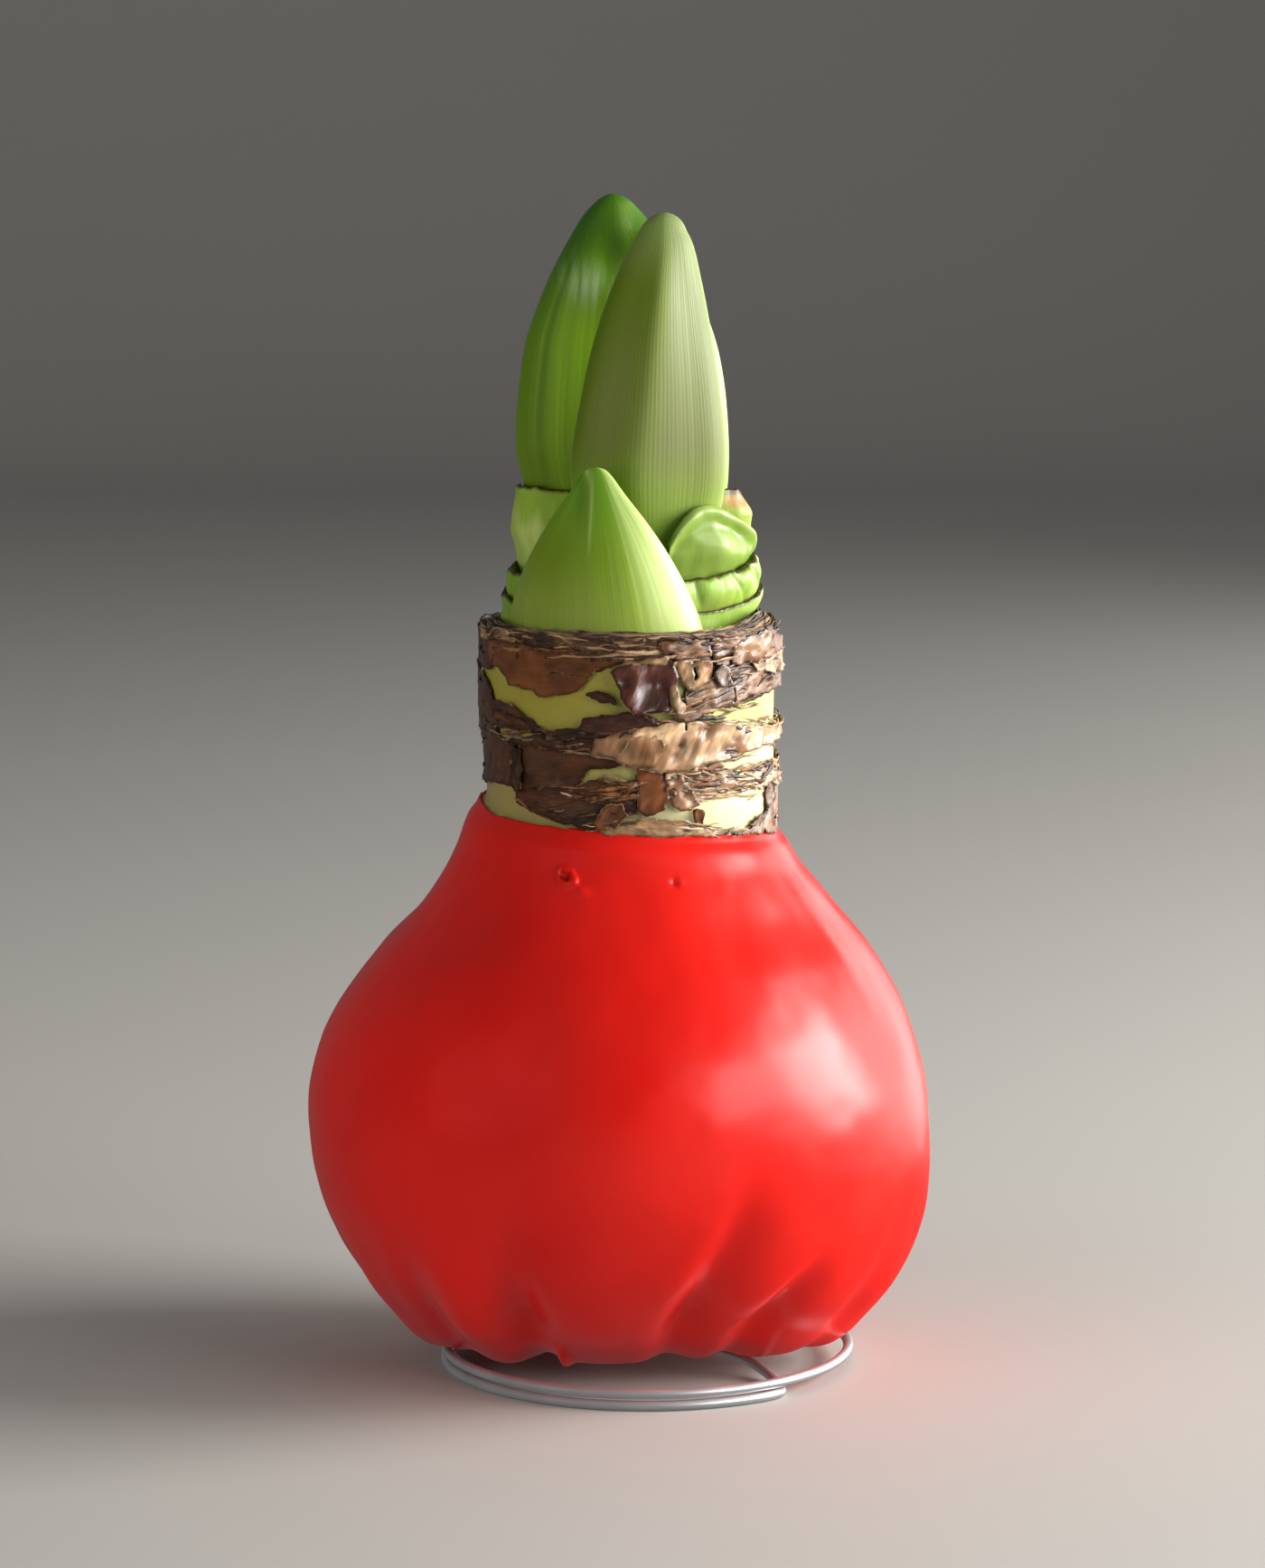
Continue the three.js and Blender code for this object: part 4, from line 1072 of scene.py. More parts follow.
RIM_LOWER = [
    (-180, 98), (-150, 96.5), (-120, 98.5), (-100, 99.6), (-88, 99.4), (-75, 99.8), (-66, 100), (-56, 99.6),
    (-40, 99.4), (-29, 99.2), (-18, 99.4), (-12, 99.9), (-7, 100.6), (5, 101), (12, 100.6), (20, 98.6),
    (34, 98.2), (60, 98.2), (90, 98), (110, 97.5), (140, 96.5), (160, 97.5), (180, 98),
]
RIM_UPPER = [
    (-180, 105), (-90, 104.9), (-45, 104.5), (0, 104.4), (45, 104.6), (90, 104.9), (180, 105),
]
RIM_SHEETS = [
    (101, 0.05, 0.25, (COCOA, PLUM), 0.15, (1, 7, 0.7, 0.08), 0.3, 0.55,
     (RIM_LOWER, RIM_UPPER), [(0.25, (-47, 104), (-46.5, 101.5), (-47.5, 100.4))]),
    (103, 0.22, 0.25, (CHESTNUT, COCOA), 0.12, (-3, 7, 2.2, 0.12), 0.2, 0.06,
     [(-67, 103), (-68, 100.6), (-65, 99.4), (-60, 99.7), (-56, 98.4), (-52.5, 97.3), (-44, 96.9),
      (-39, 96.8), (-36, 96.2), (-29, 96.4), (-22, 96.7), (-18, 97.2), (-15, 98.5), (-12, 99.9),
      (-8, 100.6), (-3, 101), (-4, 101.9), (-14, 102), (-26, 102.4), (-40, 102.9), (-54, 103)],
     (), AMBER),
    (105, 0.3, 0.2, (PLUM, COCOA), 0.15, (80, 5, 1.2, 0.08), 0.3, 0.25,
     [(-96, 104.4), (-96, 99.6), (-84, 99.2), (-74, 98.8), (-67, 99), (-63, 100.6), (-64, 104.2)]),
    (121, 0.5, 0.2, (FAWN, COCOA), 0.25, (12, 3, 0.7, 0.16), 0.45, 0.2,
     [(11, 103.9), (21, 104.2), (31.5, 104.1), (32.6, 101.6), (24.5, 101.3), (17.3, 101.6), (11.8, 102.4)]),
    (131, 0.6, 0.3, (SATIN, CHESTNUT), 0.3, (58, 3, 0.9, 0.2), 0.35, 0.1,
     [(16.8, 101.4), (24.5, 101.3), (32.2, 101.5), (34.2, 99.7), (32.4, 98.4), (28.4, 97.6), (22.7, 97),
      (19.9, 98.8), (17.3, 100.3)],
     [(0.3, (25, 101.6), (26, 99.5), (24.4, 98.4))]),
    (141, 0.5, 0.3, (FAWN, COCOA), 0.25, (8, 3, 0.6, 0.16), 0.3, 0.3,
     [(33.2, 104), (41.1, 104.2), (50, 104.1), (43.6, 102.4), (41, 100.2), (34.8, 100.1), (33, 102.2)]),
    (151, 0.75, 0.22, (FAWN, CHESTNUT), 0.3, (40, 3, 1.2, 0.24), 0.35, 0.07,
     [(43, 102.5), (50.4, 104.1), (64, 104.3), (84, 103.2), (90, 101.6), (70.2, 100.4), (57.6, 100.1),
      (48.6, 100.3), (42, 100.6)]),
    (161, 0.7, 0.25, (SATIN, RUST), 0.3, (12, 2.5, 0.6, 0.2), 0.5, 0.7,
     [(51, 100.4), (58, 101.2), (66, 101.5), (86, 101.2), (100, 100.6), (100, 98.4), (86, 98), (70.3, 98.4),
      (54.4, 99.1)],
     [(0.3, (60, 101.4), (62, 100), (60.5, 98.6)), (0.25, (74, 101), (76, 98.5))]),
    (171, 0.3, 0.3, (FAWN, COCOA), 0.3, (16, 4, 0.8, 0.26), 0.3, 0.4,
     [(17.5, 93.4), (21, 95.6), (22, 98), (30, 99.4), (36, 100), (48, 100.4), (77.2, 100.4), (96, 99.8),
      (96, 96.4), (83.8, 96.2), (67.7, 95.9), (54.4, 95.6), (44.8, 94.8), (38.9, 94.9), (30.4, 93.8),
      (21.7, 92.9)],
     [(0.3, (41, 98.8), (44, 96.6), (43, 94.6))]),
    (181, 0.85, 0.4, (ASH, UMBER), 0.4, (60, 2, 0.7, 0.12), 0.2, 0.2,
     [(33.4, 99.6), (36.5, 100.6), (40.5, 100), (40.6, 98), (37, 97.4), (34.6, 98)]),
]
RIM_SHREDS = [
    (1900, 34, 0.4, (8, 34), (0.2, 0.7), (*DARK, CHESTNUT, TAN, TAN, SATIN),
     [(-68, 102.2), (-30, 101.6), (10, 101.2)], [(-68, 104.6), (-30, 104.4), (10, 104.3)]),
    (2900, 40, 0.75, (6, 22), (0.2, 0.7), RIM_MIX,
     [(8, 102), (34, 101), (96, 100.6)], [(8, 104.3), (50, 104.5), (96, 104.7)]),
    (3900, 30, 0.85, (5, 16), (0.2, 0.7), RIM_MIX,
     [(34, 98), (60, 98), (96, 98)], [(34, 101), (60, 101.4), (96, 101.6)]),
    (4900, 36, 0.6, (6, 20), (0.25, 0.9), (RUST, TAN, SATIN, COCOA, UMBER, TAN),
     [(16, 93), (40, 94.6), (92, 96)], [(16, 95.6), (40, 98.6), (92, 99)]),
    (5400, 10, 0.45, (6, 20), (0.2, 0.7), (*DARK, TAN),
     [(-98, 98.6), (-84, 98.6), (-66, 99)], [(-98, 104.4), (-66, 104.5)]),
    (5900, 90, 0.4, (10, 40), (0.2, 0.9), (*DARK, TAN, RUST),
     [(96, 98), (180, 98), (262, 99)], [(96, 104.6), (180, 104.7), (262, 104.6)]),
]


def torn_skins(m, sheets, shreds):
    """Torn sheets, with shreds over them."""
    return [skin_sheet(m, *row) for row in sheets] + [ribbons(m, *row) for row in shreds]


def rim_skins(m):
    """The band of pressed skins at the rim, its cut walls, and the broken plates on its right."""
    return joined(torn_skins(m, RIM_SHEETS, RIM_SHREDS) + rim_walls(m))


WALLS, WALL_AROUND = 9, 560


def rim_walls(m):
    """The cut ends of the pressed skins: thin upright walls right round the rim, each further in, and higher
    at the back and at the sides. A wall's section runs up its outside, over its edge and down its inside."""
    turn = np.radians(np.arange(WALL_AROUND) * 360 / WALL_AROUND - 180)
    degrees = np.degrees(turn) + 180
    side_climb = lerp(0.9, 2.2, smoothstep(np.sin(turn), -0.4, 0.6))
    climb = lerp(0.4, side_climb, smoothstep(-np.cos(turn), -0.75, -0.2))
    patches = []
    for i in range(WALLS):
        seed = 201 + 10 * i
        inset = 0.1 + 0.31 * i + 0.16 * rough(degrees / 15, 0 * turn, seed, 3, 24)
        top = m.neck_top + 0.1 + climb * i / WALLS + 0.22 * rough(degrees / 12, 0 * turn, seed + 4, 4, 30)
        thick = 0.17 + 0.05 * noise(degrees / 5, 0 * turn, seed + 8, 72)
        foot = m.neck_top - 1.6
        rows = [(0, foot), (0, top - 0.5), (0.02, top - 0.08), (0.3, top), (0.8, top - 0.03),
                (1, top - 0.3), (1, foot)]
        radius = np.stack([m.neck_radius - inset - share * thick for share, _ in rows])
        z = np.stack([height + 0 * turn for _, height in rows])
        points = np.stack([NECK_X + radius * np.sin(turn), -radius * np.cos(turn), z], -1)
        shade = smoothstep(rough(degrees / 10, i, seed + 6, 3, 36), -0.5, 0.5)
        edge_tint = ((TAN, UMBER), (UMBER, ASH), (PLUM, TAN))[i % 3]
        tint = lerp(edge_tint[0], edge_tint[1], shade[:, None]) + 0 * points
        grain = np.stack([degrees * NECK_DEGREE + 0 * z, 3 * z, seed + 0 * z], -1)
        patches.append(shell(rows_of(points, tint, grain, 2.0, 0.8)))
    return patches


MIDDLE_LOWER = [
    (-180, 87.5), (-150, 88.6), (-120, 87.4), (-100, 88.5), (-63, 89.3), (-51, 89.1), (-39.7, 89.3),
    (-33, 89), (-21.4, 89), (-9.8, 88.5), (-3.7, 87.9), (3.2, 86.7), (11.8, 86.6), (21.8, 86.6),
    (28.5, 87.3), (36.8, 87.5), (43.7, 87.6), (53.1, 88.3), (70.6, 89), (88.3, 88.6), (110, 87.5),
    (140, 88.5), (180, 87.5),
]
MIDDLE_UPPER = [
    (-180, 94.4), (-150, 93.6), (-120, 95), (-100, 93), (-80, 91), (-63, 89.9), (-51, 89.8), (-39.7, 90),
    (-30, 91.3), (-19.6, 92.2), (-14.2, 93.7), (-7.2, 93.9), (-0.3, 94.4), (7.5, 93.9), (11.8, 92.8),
    (18.1, 92.8), (28.4, 93), (37.8, 92.4), (48.8, 91.9), (61.4, 91.3), (77.7, 90.8), (110, 91.8),
    (140, 93.5), (180, 94.4),
]
MIDDLE_SHEETS = [
    (301, 0.15, 0.25, (COCOA, PLUM), 0.15, (-4, 7, 1.6, 0.09), 0.2, 0.2, (MIDDLE_LOWER, MIDDLE_UPPER)),
    (311, 0.3, 0.25, (PLUM, COCOA), 0.2, (-24, 5, 1.2, 0.12), 0.25, 0.35,
     [(-98, 99.6), (-88, 98.9), (-80, 98.4), (-69.6, 97.2), (-63.7, 94.9), (-51.1, 94.9), (-43.2, 93.7),
      (-38.6, 92.3), (-30.1, 91.7), (-22, 91.8), (-24, 91.2), (-33.2, 91.2), (-39.7, 91.5), (-49.7, 91.3),
      (-60.8, 91.5), (-66, 90.6), (-78, 90), (-98, 90.2)]),
    (313, 0.55, 0.15, (RUST, COCOA), 0.15, (-18, 5, 0.8, 0.06), 0.25, 0.3,
     [(-62, 93.6), (-50, 93.3), (-42, 92.5), (-34, 91.9), (-42, 91.9), (-52, 92), (-62, 92.2)]),
    (321, 0.55, 0.22, (SATIN, FAWN), 0.2, (58, 4, 1.5, 0.32), 0.2, 0.05,
     [(3, 92.4), (11, 92.7), (18.1, 93), (28.4, 93.2), (37.8, 92.6), (48.8, 92.1), (61.4, 91.5), (77.7, 91),
      (96, 91.6), (96, 88.4), (70.6, 88.9), (53.1, 88.2), (43.7, 87.5), (36.8, 87.3), (28.5, 87.1),
      (21.8, 86.4), (11.8, 86.4), (3.2, 86.6), (-5, 87.9), (-1, 90)],
     [(0.2, (21.6, 92.9), (21.2, 90.5), (22, 89.2))]),
    (323, 0.8, 0.16, (FAWN, CHESTNUT), 0.12, (75, 4, 1.6, 0.18), 0.3, 0.06,
     [(-12, 91), (-2, 92), (6, 92.3), (12, 91.6), (14, 89), (10, 87), (2, 87.1), (-6, 88.3), (-14, 89)],
     (), TAN),
    (331, 0.45, 0.22, (PLUM, COCOA), 0.25, (8, 6, 1.2, 0.12), 0.3, 0.25,
     [(-34, 91.2), (-19.6, 92.4), (-14.2, 93.9), (-7.2, 94.1), (-0.3, 94.6), (7.5, 94.1), (12, 92.9),
      (4, 91.8), (-4, 91.2), (-14, 90.8), (-26, 90.8)]),
    (333, 0.4, 0.2, (COCOA, UMBER), 0.2, (2, 6, 0.8, 0.08), 0.3, 0.4,
     [(-48, 90.2), (-36, 90.8), (-24, 90.6), (-12, 90.2), (-8, 89), (-22, 89.3), (-36, 89.2), (-48, 89.2)]),
]
MIDDLE_SHREDS = [
    (6900, 26, 0.55, (8, 26), (0.25, 0.8), (UMBER, PLUM, CHESTNUT, RUST, ASH),
     [(-62, 89.2), (-10, 88.4), (8, 88)], [(-62, 91.4), (-10, 93.4), (8, 94)]),
    (7900, 30, 0.7, (5, 18), (0.15, 0.5), WARM_MIX,
     [(16, 92.4), (50, 91), (96, 90.4)], [(16, 94), (50, 92.8), (96, 92)]),
    (8400, 16, 0.55, (6, 22), (0.12, 0.35), (TAN, RUST, UMBER, CHESTNUT),
     [(8, 86.2), (50, 87.6), (96, 88.2)], [(8, 87.4), (50, 88.6), (96, 89.2)]),
    (8900, 12, 0.45, (4, 12), (0.15, 0.5), (TAN, RUST, CHESTNUT),
     [(20, 94), (40, 93.4), (62, 93)], [(20, 96), (40, 96), (62, 95)]),
    (9400, 12, 0.5, (6, 22), (0.2, 0.7), (UMBER, PLUM, ASH, COCOA),
     [(-98, 89.6), (-62, 90)], [(-98, 98.6), (-62, 95)]),
    (9900, 70, 0.45, (10, 36), (0.2, 0.8), (TAN, RUST, COCOA, UMBER),
     [(96, 87.6), (180, 87.6), (262, 89)], [(96, 92), (180, 94.4), (262, 96)]),
]


def middle_skins(m):
    """The dark strip that comes in from the left, and the tan band that it joins and that runs round."""
    return joined(torn_skins(m, MIDDLE_SHEETS, MIDDLE_SHREDS))


BROWN_SHEETS = [
    (401, 0.12, 0.22, (COCOA, srgb("4a2d1c")), 0.12, (3, 7, 2.2, 0.1), 0.22, 0.07,
     [(-100, 91), (-88, 91.8), (-76.4, 92.1), (-62, 91.4), (-61, 89.8), (-51, 89.5), (-39.7, 89.7),
      (-33, 89.4), (-21, 89.3), (-10, 88.9), (1, 88.2), (-3.7, 87), (-9.8, 86.9), (-15.1, 86.6),
      (-17.8, 85.4), (-18.2, 84.6), (-21.5, 83.8), (-30, 83.4), (-42.1, 82.8), (-45.8, 82.7), (-47, 84),
      (-47, 90), (-100, 90)]),
    (403, 0.25, 0.22, (COCOA, UMBER), 0.2, (70, 6, 1.6, 0.08), 0.25, 0.2,
     [(-100, 91.4), (-88, 91.8), (-76.4, 92.1), (-62, 91.2), (-61, 89.7), (-50, 89.6), (-46, 88),
      (-46.6, 85.4), (-45, 83.2), (-52.7, 83.5), (-59.2, 83.7), (-74.9, 83.1), (-88, 83.4), (-100, 84)]),
    (405, 0.55, 0.25, (UMBER, CHESTNUT), 0.3, (84, 3, 0.8, 0.12), 0.25, 0.4,
     [(-50, 89), (-45.6, 88.9), (-44.6, 86.4), (-45, 83.2), (-48, 82.6), (-51, 84.4), (-49.4, 86.8)]),
    (411, 0.25, 0.22, (COCOA, UMBER), 0.2, (3, 6, 1.1, 0.08), 0.3, 0.35,
     [(-48, 83.1), (-42.1, 83.4), (-21.5, 84.4), (-19.2, 84.9), (-5.5, 85.3), (3.4, 85.3), (3.6, 81.8),
      (2.3, 81.1), (-3.7, 80.9), (-5.5, 81.1), (-3.2, 78.9), (-10.7, 78.2), (-14.2, 78.4), (-21.5, 78.9),
      (-28.2, 79.4), (-36.5, 80.3), (-44.6, 80.8), (-47.8, 81.6)],
     [(0.5, (-20, 83.2), (-17.5, 82.9)), (0.6, (-1, 83.6), (1.5, 82.6))]),
    (413, 0.45, 0.2, (AMBER, COCOA), 0.2, (60, 4, 1.2, 0.08), 0.3, 0.2,
     [(-8, 82), (-2, 82.4), (0, 80.6), (-4, 79), (-10, 78.4), (-14, 79), (-11, 80.8)], (), RUST),
    (431, 0.45, 0.2, (CHESTNUT, COCOA), 0.3, (28, 3, 1.2, 0.2), 0.3, 0.07,
     [(3, 86.9), (9.2, 86.6), (14.7, 86.2), (15.6, 82.6), (12, 81.2), (7.5, 80.2), (3.4, 81.2)], (), RUST),
    (441, 0.25, 0.22, (SATIN, FAWN), 0.3, (4, 3, 0.7, 0.24), 0.5, 0.15,
     [(14, 86.6), (21.8, 86.7), (30.5, 86), (41.3, 85.7), (53.1, 85.5), (63.5, 86), (70.8, 85), (88, 83.6),
      (104, 83.8), (104, 82.4), (88, 82.6), (78.1, 82.6), (68.1, 83.2), (54.7, 83), (41.3, 83),
      (33.6, 82.8), (26.5, 82), (20.9, 81.4), (17.2, 82.4), (15, 84.6)]),
    (443, 0.6, 0.2, (SATIN, FAWN), 0.4, (40, 2.5, 0.9, 0.22), 0.5, 0.06,
     [(14.6, 85.6), (20, 85.4), (24, 84), (26, 82), (21, 81), (17, 82), (15, 84)]),
    (461, 0.15, 0.22, (CHESTNUT, COCOA), 0.25, (3, 6, 1.4, 0.09), 0.4, 0.25,
     [(88, 86), (110, 86.8), (140, 86.2), (170, 87), (200, 86.2), (230, 87), (262, 88), (262, 84.4),
      (230, 82.8), (200, 81.6), (170, 82.6), (140, 81.8), (110, 82.8), (88, 82.4)],
     [(0.5, (128, 87), (131, 84.6)), (0.6, (216, 81), (212, 84.4), (215, 85.4))]),
]
BROWN_SHREDS = [
    (11900, 24, 0.55, (5, 16), (0.25, 0.8), (TAN, AMBER, SATIN, CHESTNUT, UMBER),
     [(-24, 82.8), (-8, 82.4), (5, 83)], [(-24, 85), (-8, 85.6), (5, 85.6)]),
    (12400, 12, 0.5, (5, 20), (0.15, 0.5), (UMBER, COCOA, RUST, ASH),
     [(-46, 80.6), (-20, 79), (4, 80)], [(-46, 83), (-20, 82.6), (4, 83)]),
    (12900, 90, 0.65, (5, 20), (0.2, 0.9), BROWN_MIX,
     [(14, 83.6), (44, 83.4), (100, 82.6)], [(14, 87.2), (44, 86.4), (100, 85.6)]),
    (13900, 40, 0.5, (4, 14), (0.12, 0.4), (SATIN, STRAW, RUST, ASH, TAN),
     [(16, 81.6), (44, 82), (90, 82)], [(16, 84.6), (44, 84), (90, 83.6)]),
    (14400, 8, 0.45, (6, 26), (0.15, 0.5), (UMBER, COCOA, CHESTNUT),
     [(-100, 83.6), (-46, 82.8)], [(-100, 91.6), (-62, 91), (-46, 89)]),
    (14900, 60, 0.45, (10, 36), (0.2, 0.8), (TAN, RUST, COCOA, UMBER),
     [(100, 82), (180, 81.4), (262, 83.6)], [(100, 87), (180, 87.6), (262, 88.6)]),
]


def lower_skins(m):
    """The broad brown sheet at the left, the patches in front, and the frayed fringe at the right."""
    return joined(torn_skins(m, BROWN_SHEETS, BROWN_SHREDS))


FOOT_SHEETS = [
    (501, 0.3, 0.22, (TAN, CHESTNUT), 0.3, (3, 4, 0.6, 0.12), 0.25, 0.6,
     [(-10.7, 79.6), (-5.5, 78.9), (-0.3, 79.1), (5.7, 80.3), (9.2, 80.1), (17.2, 80), (23.7, 79.4),
      (27.5, 78.6), (34, 77.9), (34, 77.1), (11.9, 77.6), (-10.7, 78)],
     (), SATIN),
    (511, 0.2, 0.22, (ASH, RUST), 0.3, (50, 3, 0.7, 0.14), 0.5, 0.7,
     [(39, 77.4), (53.2, 77.8), (60, 78.6), (66, 79.6), (67, 83), (76, 83.4), (94, 83.4), (94, 76.4),
      (70, 76.4), (54.8, 76.8)],
     [(0.4, (74, 83), (72, 80), (75, 78))]),
    (521, 0.3, 0.22, (RUST, COCOA), 0.5, (60, 2, 0.6, 0.1), 0.3, 0.3,
     [(24.6, 81), (29.4, 80.9), (30, 79.3), (27.4, 78.4), (25.4, 79.2)]),
    (531, 0.2, 0.22, (ASH, CHESTNUT), 0.3, (-2, 4, 0.6, 0.12), 0.4, 0.6,
     [(94, 78.6), (120, 79), (150, 79.8), (180, 81), (205, 82), (232, 82), (238, 81.2), (205, 80.4),
      (180, 79.6), (150, 78.2), (120, 77.4), (94, 76.4)]),
]
FOOT_SHREDS = [
    (15900, 28, 0.5, (5, 18), (0.12, 0.4), (TAN, SATIN, UMBER, CHESTNUT, STRAW),
     [(-12, 77.9), (14, 77.3), (36, 76.9)], [(-12, 79.6), (14, 80.2), (36, 78.4)]),
    (16900, 44, 0.45, (4, 10), (0.15, 0.6), (ASH, SATIN, UMBER, RUST, TAN),
     [(38, 76.7), (60, 76.4), (96, 76.2)], [(38, 77.8), (60, 78.8), (76, 83.4), (96, 83.6)]),
    (17900, 36, 0.4, (8, 26), (0.25, 0.8), (ASH, TAN, UMBER, RUST),
     [(96, 76.4), (150, 78), (238, 80.6)], [(96, 79), (150, 80.4), (238, 82.6)]),
]


def foot_skins(m):
    """Scraps of skin along the edge of the wax."""
    return joined(torn_skins(m, FOOT_SHEETS, FOOT_SHREDS))


FLAP_OUTLINE = [
    (-6.6, 100.4), (-0.3, 101), (8.3, 101.3), (16.4, 101.2), (19, 99.2), (17, 95.6), (14.2, 94.7),
    (9.2, 94.5), (2.3, 94.2), (-1.4, 96),
]
FLAP_SHEETS = [
    (601, 0.4, 0.2, (srgb("4a231d"), srgb("200d09")), 0.1, (64, 5, 2.2, 0.3), 0.15, 0.02, FLAP_OUTLINE),
    (611, 0.35, 0.16, (TAN, ASH), 0.3, (50, 2, 0.6, 0.12), 0.25, 0.3,
     [(15.8, 98.6), (17.6, 98), (19.6, 96.2), (21.6, 95), (20.4, 93.8), (16.8, 94), (15.2, 95.4)]),
    (621, 0.3, 0.2, (COCOA, UMBER), 0.3, (-25, 3, 0.6, 0.08), 0.25, 0.3,
     [(-17, 96.9), (-10, 97.4), (-5.6, 96.6), (-3, 95.2), (-9, 95.8), (-14, 96.3)]),
    (631, 0.75, 0.2, (TAN, COCOA), 0.3, (6, 3, 0.6, 0.1), 0.3, 0.6,
     [(-5, 100.9), (1, 101.5), (9, 101.9), (16, 101.7), (14, 100.9), (6, 100.8), (-1, 100.3)]),
]


def torn_flap(m):
    """A sheet that has come away at its lower left corner: it stands off by a power of the distance from the
    upper right corner. A small scrap beside it curls off at its edge."""
    def corner(turn, z):
        return apart(turn, 19) * -NECK_DEGREE, 101 - z

    def lift(turn, z):
        u, v = corner(turn, z)
        dent = 0.7 * hump(u - 3.0, 2.2) * hump(v - 3.2, 2)
        return 2.2 * np.clip((0.55 * u + 0.85 * v) / 11, 0, 1) ** 1.4 - dent

    def lift_edge(turn, z):
        u, v = corner(turn, z)
        return 0.7 + 1.2 * smoothstep(v, 2, 6) * hump(u - 0.6, 1.2)

    lifts = (lift, lift_edge, None, None)
    return joined([skin_sheet(m, *row, lift=raised) for row, raised in zip(FLAP_SHEETS, lifts)])


# ---------------- leaf bases

def on_oval(turn, oval, inset, z):
    """Points of an oval (its middle and its half sizes) at each turn and height, moved in by inset."""
    x, y, half_x, half_y = oval
    across, deep = half_x - inset, half_y - inset
    return np.stack([x + across * np.sin(turn), y - deep * np.cos(turn), z + 0 * turn], -1)


BASE_THICK = 0.6
BASE_HALF, BASE_DEEP = 17, 13  # the oval on which the grain of the leaf bases counts the way round

# How many points go round each piece that stands in the wells, and how many rows go up it.
OUTER_AROUND, OUTER_ROWS = 360, 26
INNER_AROUND, INNER_ROWS = 400, 34
SHEATH_AROUND, SHEATH_ROWS = 340, 56
SCALE_ACROSS, SCALE_ROWS = 120, 84
LEAF_AROUND, LEAF_ROWS = 240, 96
BUD_AROUND, BUD_ROWS = 530, 84
SHOOT_AROUND, SHOOT_ROWS = 330, 104


def cut_ring(turn, top, oval, rows, shape, tint):
    """A thin cup round an oval: its outer wall from the well up to its top edge, and its inner wall down.
    shape(turn, z, up) gives how far the wall is moved outwards, and tint(turn, z, below) its colour at that
    depth below the edge."""
    up = np.linspace(0, 1, rows) ** 0.75
    up = np.concatenate([up, up[::-2]])[:, None]
    outer = (np.arange(len(up)) < rows)[:, None]
    z = lerp(WELL_FLOOR + GAP, top, up)
    inset = np.where(outer, 0, BASE_THICK) - shape(turn, z, up)
    below = top - z
    inset = inset + np.where(outer, 1, -1) * 0.3 * BASE_THICK * hump(below, 0.25)
    points = on_oval(turn, oval(z), inset, z)
    return shell(rows_of(points, tint(turn, z, below), round_grain(turn, z, BASE_HALF, BASE_DEEP), below))


def fine_turn(count, humps):
    return np.radians(crowded(-180, 180, count, humps))[None]


BASE_GREEN, BASE_PALE, BASE_YELLOW = srgb("86ac30"), srgb("b9d07c"), srgb("b3b45a")


def leaf_base_tint(seed):
    """Green, paler in patches, with painted light that makes it paler on the right and painted shade that
    makes it darker on the left, and yellower lower down.
    """
    def tint(turn, z, below):
        around = np.degrees(turn)
        # The sine of the turn adds painted light on the right.
        pale = smoothstep(rough(around / 24, z / 6, seed, 3, 15) + 0.7 * np.sin(turn), -0.6, 1.2)
        shade = tinted(BASE_GREEN, BASE_PALE, pale)
        # Painted shade on the left.
        shade = tinted(shade, "6c8a24", 0.6 * smoothstep(-np.sin(turn), 0.2, 0.9))
        low = smoothstep(below, 1.5, 6)
        return tinted(shade, BASE_YELLOW, 0.5 * low)
    return tint


def outer_leaf_base():
    """Upright ribs stand on it, and it flares a little on its left where it leaves the neck."""
    edge = [(-180, 110.5), (-90, 108.7), (-30, 107), (45, 107), (90, 109.4), (180, 110.5)]
    turn = fine_turn(OUTER_AROUND, [(70, 30, 1)])
    top = round_edge(edge, turn) + 0.22 * rough(np.degrees(turn) / 7.2, 0 * turn, 71, 4, 50)

    def shape(turn, z, up):
        ribs = 0.22 * np.abs(np.sin(10 * turn + 0.3 * z))
        ribs = ribs + 0.15 * rough(np.degrees(turn) / 12, z / 5, 73, 2, 30)
        flare = 1.3 * hump(z - 105, 1.4) * hump(apart(turn, -90), 40)
        return ribs * smoothstep(z, 105.5, 107) + flare * smoothstep(z, 102, 104.6)

    return cut_ring(turn, top, outer_base_oval, OUTER_ROWS, shape, leaf_base_tint(75))


def inner_leaf_base():
    """Soft ribs stand on it, most of all on its right, where they lean over."""
    edge = [(-180, 115), (-90, 112), (0, 111), (45, 111.8), (90, 113.7), (180, 115)]
    turn = fine_turn(INNER_AROUND, [(70, 34, 1.4)])
    top = round_edge(edge, turn) + 0.2 * rough(np.degrees(turn) / 7.2, 0 * turn, 81, 4, 50)

    def shape(turn, z, up):
        fade = smoothstep(z, 106, 109) * (1 - 0.6 * smoothstep(z, top - 0.7, top))
        right = 0.35 + 0.65 * hump(apart(turn, 65), 45)
        ribs = (0.65 * rib(turn, z) - 0.15) * right + 0.2 * rough(np.degrees(turn) / 9, z / 4, 83, 2, 40)
        return -1.0 - 0.3 * (1 - up) + 0.5 * hump(z - top + 2.2, 1.6) * right + ribs * fade

    def rib(turn, z):
        """The ribs lean, and stand closer at some places than at others."""
        slanted = np.degrees(turn) + 2.6 * (z - 108) + 7 * noise(np.degrees(turn) / 36, z / 9, 87, 10)
        return np.abs(np.sin(np.radians(slanted) * 9)) ** 0.75

    def tint(turn, z, below):
        base = leaf_base_tint(85)(turn, z, below)
        # Painted shade in the grooves between the ribs.
        return tinted(base, "6d941f", 0.7 * (1 - rib(turn, z)))

    return cut_ring(turn, top, outer_base_oval, INNER_ROWS, shape, tint)


